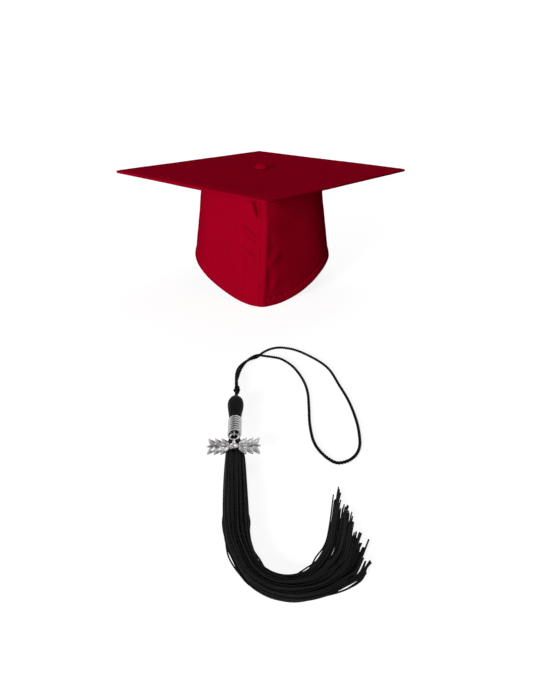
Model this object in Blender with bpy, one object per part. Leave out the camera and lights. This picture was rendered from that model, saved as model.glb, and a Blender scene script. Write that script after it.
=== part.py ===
"""Graduation cap with its tassel laid in front of it, in metres, +Z up.

The cap stands level on the front and back points of its rim, over the origin, with its front
towards -Y and the board's corners on the X and Y axes. The tassel is loose and lies on the same
surface, with its cord looped to one side.
"""
import math

import bmesh
import bpy
from mathutils import Vector

# Gap kept between pieces that touch
CLEARANCE = 0.0003

# Board: a stiff card core between two cloth covers that meet half way down its edge
BOARD_SIDE = 0.240
BOARD_CORNER_RADIUS = 0.004
BOARD_EDGE_ROUNDING = 0.0012
CORE_THICKNESS = 0.0024
COVER_THICKNESS = 0.0008

# Covered button on the middle of the board, riveted through to a washer inside the cap
BUTTON_DIAMETER = 0.0155
BUTTON_HEIGHT = 0.0062
BUTTON_LIP = 0.0014
BUTTON_TURN_UNDER = 0.0006
BUTTON_WALL = 0.0014
BUTTON_MARGIN = 0.0020
BUTTON_DIP = 0.0003
BUTTON_RECESS_DEPTH = 0.0024
BUTTON_PLATE_THICKNESS = 0.0009
RIVET_DIAMETER = 0.0030
RIVET_FLANGE_DIAMETER = 0.0056
RIVET_FLANGE_THICKNESS = 0.0006
RIVET_CLINCH_DIAMETER = 0.0045
WASHER_DIAMETER = 0.0120
WASHER_THICKNESS = 0.0008

# Skullcap: an oval wall that widens towards the rim and comes to a crease along the front seam
CAP_HEIGHT = 0.1280
CROWN_HALF_WIDTH = 0.0684
CROWN_HALF_LENGTH = 0.0880
BASE_HALF_WIDTH = 0.0874
BASE_HALF_LENGTH = 0.0975
FRONT_CREASE = 0.45
RIM_RISE = 0.033
RIM_CURVE = 1.8
FRONT_REST_WIDTH = 0.024
BACK_REST_WIDTH = 0.080
PANEL_THICKNESS = 0.0010
SEAM_ALLOWANCE = 0.006
LAP_EDGE = -0.0067
LAP_LEAN = math.radians(1.5)
LAP_WIDTH = 0.0082
LAP_THICKNESS = 0.0010
LAP_STEPS = 6
LAP_INSET = 0.0008
WALL_STEP = math.radians(5)
WALL_ROWS = 5
LINING_ROWS = 2

# Back gusset, gathered by the elastic
GUSSET_BASE_WIDTH = 0.078
GUSSET_CROWN_WIDTH = 0.036
GATHER_COUNT = 9
GATHER_DEPTH = 0.0024
GATHER_STEPS = 4

# Layers inside the wall
LINING_THICKNESS = 0.0006
HEM_WIDTH = 0.010
HEM_INSET = 0.0006
SWEATBAND_WIDTH = 0.028
SWEATBAND_THICKNESS = 0.0008
SWEATBAND_INSET = 0.0012
ELASTIC_WIDTH = 0.018
ELASTIC_THICKNESS = 0.0008
ELASTIC_INSET = 0.0020
CROWN_DISC_THICKNESS = 0.0008

# Tassel: place of the top of its head, then its head, wire band and neck
TASSEL_X = -0.0276
TASSEL_Y = -0.288
HEAD_LENGTH = 0.0353
HEAD_PEAK = 0.0088
HEAD_WIDEST = 0.47
HEAD_DIAMETER = 0.0124
HEAD_TOP_DIAMETER = 0.0030
HEAD_BASE_DIAMETER = 0.0092
HEAD_FLUTES = 12
HEAD_FLUTE_DEPTH = 0.0003
BAND_DIAMETER = 0.0100
BAND_WIRE = 0.0021
BAND_TURNS = 7
BAND_GAP = 0.00045
NECK_REACH = 0.0018
NECK_WIDTH = 0.0098
NECK_HEIGHT = 0.0070
SHOULDER_REACH = 0.0095
SHOULDER_WIDTH = 0.0098
SHOULDER_HEIGHT = 0.0078

# Eye pin tucked under the band, and the charm that hangs on it by a cast ring
EYE_WIRE = 0.0007
EYE_DIAMETER = 0.0038
EYE_LEG = 0.010
EYE_OFFSET = 0.0026
EYE_BEND = math.radians(285)
EYE_STEPS = 19
CHARM_RING_DIAMETER = 0.0069
CHARM_RING_WIRE = 0.0011
CHARM_THICKNESS = 0.0012
CHARM_STEM_HALF = 0.0009
CHARM_BOSS = 0.0024
CHARM_NECK = 0.0070
CHARM_DROP = 0.0040
LEAF_LENGTH = 0.0092
LEAF_WIDTH = 0.0033
LEAF_FOOT = 0.0012
LEAF_WIDEST = 0.38
LEAF_SHOULDER = 0.72
LEAF_ANGLE = math.radians(58)
LEAF_FIRST = 0.0042
LEAF_SPACING = 0.0044
LEAF_PAIRS = 3

# Cord and knot
CORD_DIAMETER = 0.0030
CORD_POINT_SPACING = 0.0072
LEG_GAP = 0.0004
LEG_TWISTS = 0.5
LEG_SETTLE = 0.25
KNOT_DIAMETER = 0.0068
KNOT_LENGTH = 0.0140
KNOT_NECK_DIAMETER = 0.0048

# Middle of the two legs from the knot to where they part, as x and y from the tassel's head
LEGS_ROUTE = [(-0.0003, HEAD_PEAK + KNOT_LENGTH + 2 * CLEARANCE), (-0.0003, 0.0327), (0.0008, 0.0457),
              (0.0034, 0.0562), (0.0087, 0.0664), (0.0148, 0.0726), (0.0176, 0.0742)]
# The open loop, from one leg round to the other
LOOP_ROUTE = [(0.0222, 0.0815), (0.0304, 0.0896), (0.0422, 0.0920), (0.0585, 0.0830),
              (0.0782, 0.0561), (0.0853, 0.0229), (0.0890, -0.0010), (0.0900, -0.0248),
              (0.0888, -0.0426), (0.0862, -0.0559), (0.0805, -0.0656), (0.0719, -0.0711),
              (0.0660, -0.0695), (0.0598, -0.0613), (0.0555, -0.0483), (0.0549, -0.0279),
              (0.0566, -0.0055), (0.0577, 0.0149), (0.0557, 0.0344), (0.0490, 0.0565),
              (0.0384, 0.0713), (0.0282, 0.0750)]
# Skirt: x and y of its outer edge, of its inner edge, and its height, from the band to the tips
SKIRT_RIBS = [(-0.0058, -0.0659, 0.0075, -0.0664, 0.0090),
              (-0.0060, -0.0904, 0.0092, -0.0909, 0.0090),
              (-0.0053, -0.1174, 0.0101, -0.1172, 0.0090),
              (-0.0032, -0.1360, 0.0106, -0.1300, 0.0089),
              (0.0007, -0.1471, 0.0122, -0.1408, 0.0088),
              (0.0070, -0.1600, 0.0148, -0.1490, 0.0086),
              (0.0151, -0.1675, 0.0192, -0.1546, 0.0086),
              (0.0238, -0.1716, 0.0252, -0.1579, 0.0086),
              (0.0344, -0.1730, 0.0317, -0.1583, 0.0084),
              (0.0473, -0.1704, 0.0397, -0.1550, 0.0078),
              (0.0571, -0.1656, 0.0457, -0.1480, 0.0068),
              (0.0661, -0.1590, 0.0527, -0.1340, 0.0056),
              (0.0717, -0.1510, 0.0617, -0.0990, 0.0042)]
SKIRT_FLUTES = 11
SKIRT_FLUTE_DEPTH = 0.0006
SKIRT_TIP_LENGTH = 0.0050
RIB_STEPS = 2

# Facets of round forms
ROUND_STEPS = 24
DOME_STEPS = 6
HEAD_STEPS = 10
KNOT_STEPS = 8
CHARM_RING_STEPS = 28
CHARM_RING_SIDES = 8
CURVE_STEPS = 16
SHARP_ANGLE = math.radians(32)


def clear_scene():
    """Start from an empty scene."""
    for item in list(bpy.data.objects):
        bpy.data.objects.remove(item, do_unlink=True)


def make_material(name, colour, roughness, metallic=0.0):
    """A plain Principled material."""
    material = bpy.data.materials.new(name)
    material.use_nodes = True
    shader = material.node_tree.nodes["Principled BSDF"]
    shader.inputs["Base Color"].default_value = (*colour, 1.0)
    shader.inputs["Roughness"].default_value = roughness
    shader.inputs["Metallic"].default_value = metallic
    return material


def place(item, material, parent=None):
    """Link an object, with its material and its parent."""
    bpy.context.scene.collection.objects.link(item)
    item.data.materials.append(material)
    item.parent = parent
    return item


def loft(name, material, loops, ring=False, parent=None):
    """One closed body through loops of equal length; a ring joins its last loop to its first."""
    mesh = bpy.data.meshes.new(name)
    shape = bmesh.new()
    rows = [[shape.verts.new(point) for point in loop] for loop in loops]
    pairs = list(zip(rows, rows[1:]))
    if ring:
        pairs.append((rows[-1], rows[0]))
    for low, high in pairs:
        for i in range(len(low)):
            j = (i + 1) % len(low)
            shape.faces.new((low[i], low[j], high[j], high[i]))
    if not ring:
        shape.faces.new(rows[0])
        shape.faces.new(rows[-1])
    bmesh.ops.recalc_face_normals(shape, faces=shape.faces)
    shape.to_mesh(mesh)
    shape.free()
    mesh.shade_smooth()
    mesh.set_sharp_from_angle(angle=SHARP_ANGLE)
    return place(bpy.data.objects.new(name, mesh), material, parent)


def tube(name, material, points, diameter, sides, parent=None):
    """A round wire or cord along points."""
    curve = bpy.data.curves.new(name, "CURVE")
    curve.dimensions = "3D"
    curve.bevel_depth = diameter / 2
    curve.bevel_resolution = sides
    curve.use_fill_caps = True
    spline = curve.splines.new("POLY")
    spline.points.add(len(points) - 1)
    for slot, point in zip(spline.points, points):
        slot.co = (*point, 1.0)
    return place(bpy.data.objects.new(name, curve), material, parent)


def smooth_line(points, step):
    """Points every step along a Catmull-Rom curve through the given points."""
    points = [Vector(point) for point in points]
    padded = [2 * points[0] - points[1], *points, 2 * points[-1] - points[-2]]
    dense = []
    for a, b, c, d in zip(padded, padded[1:], padded[2:], padded[3:]):
        for i in range(CURVE_STEPS):
            t = i / CURVE_STEPS
            dense.append(0.5 * (2 * b + (c - a) * t + (2 * a - 5 * b + 4 * c - d) * t * t
                                + (3 * b - a - 3 * c + d) * t ** 3))
    dense.append(points[-1])
    length = sum((q - p).length for p, q in zip(dense, dense[1:]))
    count = max(2, round(length / step))
    spaced, travelled, target = [dense[0]], 0.0, length / count
    for p, q in zip(dense, dense[1:]):
        span = (q - p).length
        while travelled + span >= target and len(spaced) < count:
            spaced.append(p.lerp(q, (target - travelled) / span))
            target += length / count
        travelled += span
    return [*spaced, dense[-1]]


def circle(radius, z, count, turn=0.0):
    """Points round the Z axis."""
    angles = [turn + 2 * math.pi * i / count for i in range(count)]
    return [Vector((radius * math.cos(a), radius * math.sin(a), z)) for a in angles]


def turned(name, material, profile, ring=False):
    """A body turned about the Z axis from (radius, height) points."""
    return loft(name, material, [circle(r, z, ROUND_STEPS) for r, z in profile], ring)


# Heights of the board's layers, worked up from its underside
UNDER_COVER_TOP = CAP_HEIGHT + COVER_THICKNESS
CORE_BOTTOM = UNDER_COVER_TOP + CLEARANCE
CORE_TOP = CORE_BOTTOM + CORE_THICKNESS
TOP_COVER_BOTTOM = CORE_TOP + CLEARANCE
BOARD_TOP = TOP_COVER_BOTTOM + COVER_THICKNESS
EDGE_SEAM = (CAP_HEIGHT + BOARD_TOP) / 2
RIVET_HOLE = RIVET_DIAMETER / 2 + CLEARANCE
BUTTON_SEAT = BUTTON_DIAMETER / 2 + BUTTON_MARGIN
CORNER_STEPS = 5


def board_outline(inset, z):
    """Rounded square with its corners on the axes, drawn in by the inset."""
    half = BOARD_SIDE / 2 - inset
    radius = max(BOARD_CORNER_RADIUS - inset, BOARD_CORNER_RADIUS / 4)
    points = []
    for corner in range(4):
        middle = corner * math.pi / 2
        centre = (half - radius) * math.sqrt(2)
        for i in range(CORNER_STEPS):
            angle = middle + math.pi / 2 * (i / (CORNER_STEPS - 1) - 0.5)
            points.append(Vector((centre * math.cos(middle) + radius * math.cos(angle),
                                  centre * math.sin(middle) + radius * math.sin(angle), z)))
    return points


def middle_ring(radius, z):
    """Circle round the rivet, with a point for each point of the board's outline."""
    count = 4 * CORNER_STEPS
    return circle(radius, z, count, -math.pi * (CORNER_STEPS - 1) / count)


def board_cover(name, material, face, inside):
    """A cloth cover: a sheet pressed in at the button, rounded over the edge down to the edge seam."""
    up = 1 if face > inside else -1
    seam = EDGE_SEAM + up * CLEARANCE / 2
    rounding = [math.radians(angle) for angle in (90, 60, 30, 0)]
    loops = [middle_ring(RIVET_HOLE, face - up * BUTTON_DIP), middle_ring(BUTTON_SEAT, face)]
    for angle in rounding:
        inset = BOARD_EDGE_ROUNDING * (1 - math.cos(angle))
        drop = BOARD_EDGE_ROUNDING * (1 - math.sin(angle))
        loops.append(board_outline(inset, face - up * drop))
    loops += [board_outline(0, seam), board_outline(COVER_THICKNESS, seam),
              board_outline(COVER_THICKNESS, inside), middle_ring(RIVET_HOLE, inside)]
    return loft(name, material, loops, ring=True)


def build_board(cloth, card):
    """The square board: core and two covers."""
    inset = COVER_THICKNESS + CLEARANCE
    loft("board_core", card, [middle_ring(RIVET_HOLE, CORE_TOP), board_outline(inset, CORE_TOP),
                              board_outline(inset, CORE_BOTTOM), middle_ring(RIVET_HOLE, CORE_BOTTOM)],
         ring=True)
    board_cover("board_top_cover", cloth, BOARD_TOP, TOP_COVER_BOTTOM)
    board_cover("board_under_cover", cloth, CAP_HEIGHT, UNDER_COVER_TOP)


# Under the board: the panels' turned-in allowance, then the crown disc, then the washer
ALLOWANCE_TOP = CAP_HEIGHT - CLEARANCE
ALLOWANCE_BOTTOM = ALLOWANCE_TOP - PANEL_THICKNESS
CROWN_DISC_TOP = ALLOWANCE_BOTTOM - CLEARANCE
CROWN_DISC_BOTTOM = CROWN_DISC_TOP - CROWN_DISC_THICKNESS
WASHER_TOP = CROWN_DISC_BOTTOM - CLEARANCE
WASHER_BOTTOM = WASHER_TOP - WASHER_THICKNESS


def build_button(cloth, metal):
    """The covered button, its back plate, and the rivet that clamps it to the washer."""
    base = BOARD_TOP + CLEARANCE
    radius = BUTTON_DIAMETER / 2
    recess = radius - BUTTON_WALL
    dome = []
    for i in range(DOME_STEPS + 1):
        angle = math.pi / 2 * (1 - (i + 0.5) / (DOME_STEPS + 0.5))
        dome.append((radius * math.cos(angle),
                     base + BUTTON_LIP + (BUTTON_HEIGHT - BUTTON_LIP) * math.sin(angle)))
    turned("button_cover", cloth, [*dome, (radius - BUTTON_TURN_UNDER, base), (recess, base),
                                   (recess, base + BUTTON_RECESS_DEPTH)])
    plate_top = base + BUTTON_PLATE_THICKNESS
    plate = recess - CLEARANCE
    turned("button_back_plate", metal, [(RIVET_HOLE, plate_top), (plate, plate_top),
                                        (plate, base), (RIVET_HOLE, base)], ring=True)
    flange = RIVET_FLANGE_DIAMETER / 2
    shank = RIVET_DIAMETER / 2
    head = plate_top + CLEARANCE
    clinch = WASHER_BOTTOM - CLEARANCE
    turned("button_rivet", metal, [(flange, head + RIVET_FLANGE_THICKNESS), (flange, head),
                                   (shank, head), (shank, clinch), (flange, clinch),
                                   (RIVET_CLINCH_DIAMETER / 2, clinch - RIVET_FLANGE_THICKNESS)])
    washer = WASHER_DIAMETER / 2
    turned("button_washer", metal, [(RIVET_HOLE, WASHER_TOP), (washer, WASHER_TOP),
                                    (washer, WASHER_BOTTOM), (RIVET_HOLE, WASHER_BOTTOM)], ring=True)


def half_width(z):
    """Half the skullcap's width at a height."""
    return BASE_HALF_WIDTH + (CROWN_HALF_WIDTH - BASE_HALF_WIDTH) * z / CAP_HEIGHT


def lap_turn(z, across):
    """Turn at a distance across the front lap, which leans as it rises."""
    return math.asin((LAP_EDGE + math.tan(LAP_LEAN) * z + across) / half_width(z))


def seam_turn(z):
    """Turn of the front seam, which the wall is creased along."""
    return lap_turn(z, LAP_WIDTH)


def wall_point(turn, z, depth):
    """Point of the wall: turn is 0 at the front and pi at the back, and depth goes inwards."""
    half_length = BASE_HALF_LENGTH + (CROWN_HALF_LENGTH - BASE_HALF_LENGTH) * z / CAP_HEIGHT
    across, along = math.sin(turn), math.cos(turn)
    crease = 1 - FRONT_CREASE * abs(across - math.sin(seam_turn(z))) * max(along, 0)
    return Vector(((half_width(z) - depth) * across, -(half_length - depth) * along * crease, z))


def rim_height(turn):
    """Height of the rim: it rests flat at the front and back and arches up at the sides."""
    rest = FRONT_REST_WIDTH if math.cos(turn) > 0 else BACK_REST_WIDTH
    flat = rest / 2 / BASE_HALF_WIDTH
    return RIM_RISE * (max(abs(math.sin(turn)) - flat, 0) / (1 - flat)) ** RIM_CURVE


def gusset_turn(z, gap):
    """Turn at which the right panel ends and the back gusset begins, less a gap."""
    width = GUSSET_BASE_WIDTH + (GUSSET_CROWN_WIDTH - GUSSET_BASE_WIDTH) * z / CAP_HEIGHT
    return math.pi - math.asin((width / 2 + gap) / half_width(z))


def wall_loop(section, start, end, share):
    """Section of a cloth piece, a share of the way between two edges that give a turn at a height."""
    turn = start(0.0) + share * (end(0.0) - start(0.0))
    return [wall_point(start(z) + share * (end(z) - start(z)), z, depth) for z, depth in section(turn, share)]


def swept_wall(name, material, section, edges, ring=False, steps=None):
    """A cloth piece carried round the wall, from edge to edge.

    section gives (height, depth) points at a turn and a share of the way between two edges.
    """
    loops = []
    for start, end in zip(edges, edges[1:]):
        count = steps or math.ceil((end(0.0) - start(0.0)) / WALL_STEP)
        loops += [wall_loop(section, start, end, i / count) for i in range(count)]
    if not ring:
        loops.append(wall_loop(section, edges[-2], edges[-1], 1.0))
    return loft(name, material, loops, ring)


def band_section(low, high, depth, thickness, rows=1):
    """Section of a plain layer, with its outer face at a depth."""
    heights = [low + (high - low) * i / rows for i in range(rows + 1)]
    return [(z, depth) for z in heights] + [(z, depth + thickness) for z in reversed(heights)]


def panel_section(turn, _share):
    """Section of a side panel: the wall, with its seam allowance turned in under the board."""
    low = rim_height(turn)
    wall = band_section(low, ALLOWANCE_TOP, 0, PANEL_THICKNESS, WALL_ROWS)
    inner_top = (ALLOWANCE_BOTTOM, PANEL_THICKNESS)
    allowance = [(ALLOWANCE_TOP, SEAM_ALLOWANCE), (ALLOWANCE_BOTTOM, SEAM_ALLOWANCE), inner_top]
    return wall[:WALL_ROWS + 1] + allowance + wall[WALL_ROWS + 2:]


def lap_section(turn, _share):
    """Section of the front lap, a folded strip laid on the left panel along the seam."""
    return band_section(rim_height(turn) + LAP_INSET, ALLOWANCE_TOP - LAP_INSET,
                        -CLEARANCE - LAP_THICKNESS, LAP_THICKNESS, WALL_ROWS)


def gusset_section(turn, share):
    """Section of the back gusset: gathers stand out from the wall and fade towards the crown."""
    swell = 0.5 - 0.5 * math.cos(2 * math.pi * GATHER_COUNT * share)
    points = []
    for z, depth in panel_section(turn, share):
        fade = max(1 - z / CAP_HEIGHT, 0)
        points.append((z, depth - GATHER_DEPTH * swell * fade))
    return points


LINING_DEPTH = PANEL_THICKNESS + CLEARANCE
BAND_DEPTH = LINING_DEPTH + LINING_THICKNESS + CLEARANCE
FULL_TURN = 2 * math.pi


def build_skullcap(cloth, lining, band_cloth, elastic):
    """The outer panels and gusset, and the layers inside them."""
    def panel_end(z):
        return gusset_turn(z, CLEARANCE / 2)

    def panel_start(z):
        return -panel_end(z)

    def gusset_start(z):
        return gusset_turn(z, -CLEARANCE / 2)

    def gusset_end(z):
        return FULL_TURN - gusset_start(z)

    def full_end(z):
        return seam_turn(z) + FULL_TURN

    def strip(inset, width, depth, thickness):
        return lambda turn, share: band_section(rim_height(turn) + inset, rim_height(turn) + inset + width,
                                                depth, thickness)

    def lining_section(turn, _share):
        return band_section(rim_height(turn) + HEM_INSET + HEM_WIDTH + CLEARANCE, CROWN_DISC_TOP,
                            LINING_DEPTH, LINING_THICKNESS, LINING_ROWS)

    swept_wall("skull_panel_right", cloth, panel_section,
               [lambda z: lap_turn(z, LAP_WIDTH + CLEARANCE / 2), panel_end])
    swept_wall("skull_panel_left", cloth, panel_section,
               [panel_start, lambda z: lap_turn(z, LAP_WIDTH - CLEARANCE / 2)])
    swept_wall("back_gusset", cloth, gusset_section, [gusset_start, gusset_end],
               steps=GATHER_COUNT * GATHER_STEPS)
    swept_wall("front_seam_lap", cloth, lap_section, [lambda z: lap_turn(z, 0), seam_turn], steps=LAP_STEPS)
    swept_wall("skull_lining", lining, lining_section, [seam_turn, full_end], ring=True)
    swept_wall("rim_hem", cloth, strip(HEM_INSET, HEM_WIDTH, LINING_DEPTH, LINING_THICKNESS),
               [seam_turn, full_end], ring=True)
    swept_wall("sweatband", band_cloth,
               strip(SWEATBAND_INSET, SWEATBAND_WIDTH, BAND_DEPTH, SWEATBAND_THICKNESS),
               [panel_start, seam_turn, panel_end])
    swept_wall("elastic_band", elastic, strip(ELASTIC_INSET, ELASTIC_WIDTH, BAND_DEPTH, ELASTIC_THICKNESS),
               [gusset_start, gusset_end])
    steps = round(FULL_TURN / WALL_STEP)
    turns = [FULL_TURN * i / steps for i in range(steps)]
    hole = [Vector((RIVET_HOLE * math.sin(t), -RIVET_HOLE * math.cos(t), 0)) for t in turns]
    heights = (CROWN_DISC_TOP, CROWN_DISC_BOTTOM)
    edges = {z: [wall_point(seam_turn(z) + t, z, BAND_DEPTH) for t in turns] for z in heights}
    holes = {z: [point + Vector((0, 0, z)) for point in hole] for z in edges}
    loft("crown_disc", lining, [holes[CROWN_DISC_TOP], edges[CROWN_DISC_TOP],
                                edges[CROWN_DISC_BOTTOM], holes[CROWN_DISC_BOTTOM]], ring=True)


# Along the tassel, which runs from its head towards -Y
AXIS_HEIGHT = HEAD_DIAMETER / 2
BAND_START = HEAD_LENGTH - HEAD_PEAK + CLEARANCE
BAND_PITCH = BAND_WIRE + BAND_GAP
BAND_END = BAND_START + BAND_TURNS * BAND_PITCH + BAND_WIRE
BAND_BORE = BAND_DIAMETER / 2 - BAND_WIRE
EYE_LEG_HEIGHT = AXIS_HEIGHT + BAND_BORE - CLEARANCE - EYE_WIRE / 2
EYE_RADIUS = (EYE_DIAMETER - EYE_WIRE) / 2
EYE_ALONG = BAND_END + EYE_OFFSET
EYE_HEIGHT = EYE_LEG_HEIGHT + EYE_RADIUS


def axis_section(along, side, up, height, count, flutes=0, flute_depth=0.0):
    """Upright oval section across the tassel's axis."""
    points = []
    for i in range(count):
        angle = 2 * math.pi * i / count
        draw_in = flute_depth * (0.5 - 0.5 * math.cos(flutes * angle))
        points.append(Vector(((side - draw_in) * math.cos(angle), -along,
                              height + (up - draw_in) * math.sin(angle))))
    return points


def build_head(yarn, parent):
    """The bulb of yarn over the head, which rises and swells from the knot and is drawn in to the band."""
    top, most, base = HEAD_TOP_DIAMETER / 2, HEAD_DIAMETER / 2, HEAD_BASE_DIAMETER / 2
    loops = []
    for i in range(HEAD_STEPS + 1):
        share = i / HEAD_STEPS
        rise = math.sin(math.pi / 2 * min(share / HEAD_WIDEST, 1))
        fall = math.cos(math.pi / 2 * max(share - HEAD_WIDEST, 0) / (1 - HEAD_WIDEST))
        radius = top + (most - top) * rise ** 2 if share < HEAD_WIDEST else base + (most - base) * fall ** 2
        height = KNOT_DIAMETER / 2 + (AXIS_HEIGHT - KNOT_DIAMETER / 2) * rise
        loops.append(axis_section(share * HEAD_LENGTH - HEAD_PEAK, radius, radius, height, 4 * HEAD_FLUTES,
                                  HEAD_FLUTES, HEAD_FLUTE_DEPTH))
    return loft("tassel_head", yarn, loops, parent=parent)


def build_band(metal, parent):
    """One wire wound round the neck, turn beside turn."""
    radius = (BAND_DIAMETER - BAND_WIRE) / 2
    points = []
    for i in range(BAND_TURNS * ROUND_STEPS + 1):
        angle = 2 * math.pi * i / ROUND_STEPS - math.pi / 2
        along = BAND_START + BAND_WIRE / 2 + BAND_PITCH * i / ROUND_STEPS
        points.append(Vector((radius * math.cos(angle), -along, AXIS_HEIGHT + radius * math.sin(angle))))
    reach = ROUND_STEPS // 2
    gap = min((p - q).length for i, p in enumerate(points) for q in points[i + reach:]) - BAND_WIRE
    print(f"wire_band: least gap to itself {gap * 1000:.2f} mm")
    return tube("wire_band", metal, points, BAND_WIRE, 1, parent)


def skirt_rib(outer, inner, height, push=0.0):
    """Oval section that stands on the surface from the skirt's outer edge to its inner edge."""
    count = 4 * SKIRT_FLUTES
    middle, half = (outer + inner) / 2, (inner - outer) / 2
    ahead = Vector((half.y, -half.x, 0)).normalized()
    points = []
    for i in range(count):
        angle = 2 * math.pi * i / count
        ridge = 0.5 + 0.5 * math.cos(SKIRT_FLUTES * angle)
        draw_in = SKIRT_FLUTE_DEPTH * (1 - ridge)
        across = half * (1 - draw_in / half.length) * math.cos(angle)
        rise = height / 2 + (height / 2 - draw_in) * math.sin(angle)
        points.append(middle + across + ahead * push * ridge + Vector((0, 0, rise)))
    return points


def build_skirt(yarn, parent):
    """The bundle of yarn: a neck under the band, then the skirt lying in a bend with its tips fanned."""
    count = 4 * SKIRT_FLUTES
    neck_top = EYE_LEG_HEIGHT - EYE_WIRE / 2 - CLEARANCE
    neck_bottom = AXIS_HEIGHT - BAND_BORE + CLEARANCE
    neck_side = BAND_BORE - CLEARANCE
    neck_middle, neck_half = (neck_top + neck_bottom) / 2, (neck_top - neck_bottom) / 2
    loops = [axis_section(along, neck_side, neck_half, neck_middle, count)
             for along in (BAND_START, BAND_END, BAND_END + CLEARANCE)]
    loops.append(axis_section(BAND_END + NECK_REACH, NECK_WIDTH / 2, NECK_HEIGHT / 2,
                              NECK_HEIGHT / 2 + CLEARANCE, count))
    loops.append(axis_section(BAND_END + SHOULDER_REACH, SHOULDER_WIDTH / 2, SHOULDER_HEIGHT / 2,
                              SHOULDER_HEIGHT / 2, count, SKIRT_FLUTES, SKIRT_FLUTE_DEPTH / 2))
    ribs = [(Vector((ox, oy, 0)), Vector((ix, iy, 0)), h) for ox, oy, ix, iy, h in SKIRT_RIBS]
    padded = [ribs[0], *ribs, ribs[-1]]
    for a, b, c, d in zip(padded, padded[1:], padded[2:], padded[3:]):
        for i in range(RIB_STEPS):
            t = i / RIB_STEPS
            weights = (-0.5 * t + t * t - 0.5 * t ** 3, 1 - 2.5 * t * t + 1.5 * t ** 3,
                       0.5 * t + 2 * t * t - 1.5 * t ** 3, -0.5 * t * t + 0.5 * t ** 3)
            loops.append(skirt_rib(*[sum((w * rib[k] for w, rib in zip(weights, (a, b, c, d))),
                                         start=0 * a[k]) for k in range(3)]))
    loops.append(skirt_rib(*ribs[-1]))
    loops.append(skirt_rib(*ribs[-1], push=SKIRT_TIP_LENGTH))
    return loft("tassel_skirt", yarn, loops, parent=parent)


def build_eye(metal, parent):
    """Eye pin: its leg lies under the band and its eye stands just clear of the band's last turn."""
    points = [Vector((0, -(EYE_ALONG - EYE_OFFSET - EYE_LEG), EYE_LEG_HEIGHT))]
    for i in range(EYE_STEPS + 1):
        angle = EYE_BEND * i / EYE_STEPS
        points.append(Vector((0, -EYE_ALONG - EYE_RADIUS * math.sin(angle),
                              EYE_HEIGHT - EYE_RADIUS * math.cos(angle))))
    return tube("band_eye", metal, points, EYE_WIRE, 1, parent)


def leaf_points(base, side, first):
    """One leaf on the edge of the stem, from its near edge round its tip to its far edge."""
    lean = Vector((math.cos(LEAF_ANGLE), side * math.sin(LEAF_ANGLE)))
    across = Vector((-lean.y, lean.x)) * side
    root = Vector((base, side * CHARM_STEM_HALF))
    half = LEAF_WIDTH / 2
    foot = Vector((LEAF_FOOT, 0))
    widest = root + lean * LEAF_LENGTH * LEAF_WIDEST
    shoulder = root + lean * LEAF_LENGTH * LEAF_SHOULDER
    points = [root - foot, widest + across * half, shoulder + across * half * LEAF_SHOULDER,
              root + lean * LEAF_LENGTH, shoulder - across * half * LEAF_SHOULDER,
              widest - across * half, root + foot]
    return points if first else points[::-1]


def charm_outline():
    """A laurel sprig: a stem with paired leaves to each side of a boss, about the ring's far side."""
    bases = [LEAF_FIRST + LEAF_SPACING * i for i in range(LEAF_PAIRS)]
    stem_end = bases[-1] + LEAF_SPACING
    right = [Vector((CHARM_BOSS, CHARM_STEM_HALF))]
    for base in bases:
        right += leaf_points(base, 1, True)
    right.append(Vector((stem_end, 0)))
    for base in reversed(bases):
        right += leaf_points(base, -1, False)
    right.append(Vector((CHARM_BOSS, -CHARM_STEM_HALF)))
    left = [Vector((-point.x, point.y)) for point in reversed(right)]
    return [Vector((0, CHARM_NECK)), *right, Vector((0, -CHARM_DROP)), *left]


def build_charm(metal, parent):
    """The charm: a sprig cast with a ring; its origin is where the ring turns in the eye."""
    ring_radius = (CHARM_RING_DIAMETER - CHARM_RING_WIRE) / 2
    sprig_y = -2 * ring_radius - CHARM_NECK
    outline = charm_outline()
    loops = [[Vector((p.x, p.y + sprig_y, z)) for p in outline]
             for z in (-CHARM_THICKNESS / 2, CHARM_THICKNESS / 2)]
    charm = loft("charm", metal, loops, parent=parent)
    rings = []
    for i in range(CHARM_RING_STEPS):
        angle = 2 * math.pi * i / CHARM_RING_STEPS
        out = Vector((math.sin(angle), math.cos(angle), 0))
        rings.append([out * (ring_radius + CHARM_RING_WIRE / 2 * math.cos(a))
                      + Vector((0, -ring_radius, CHARM_RING_WIRE / 2 * math.sin(a)))
                      for a in (2 * math.pi * k / CHARM_RING_SIDES for k in range(CHARM_RING_SIDES))])
    ring = loft("charm_ring_shape", metal, rings, ring=True, parent=parent)
    ring.hide_render = True
    ring.display_type = "WIRE"
    union = charm.modifiers.new("cast ring", "BOOLEAN")
    union.operation = "UNION"
    union.object = ring
    return charm


def build_knot(yarn, parent):
    """The knot between the cord's legs and the head: a bead drawn in at both ends."""
    middle = KNOT_DIAMETER / 2
    loops = []
    for i in range(KNOT_STEPS + 1):
        share = i / KNOT_STEPS
        radius = KNOT_NECK_DIAMETER / 2 + (middle - KNOT_NECK_DIAMETER / 2) * math.sin(math.pi * share)
        along = -HEAD_PEAK - CLEARANCE - KNOT_LENGTH * (1 - share)
        loops.append(axis_section(along, radius, radius, middle, ROUND_STEPS))
    return loft("cord_knot", yarn, loops, parent=parent)


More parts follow.
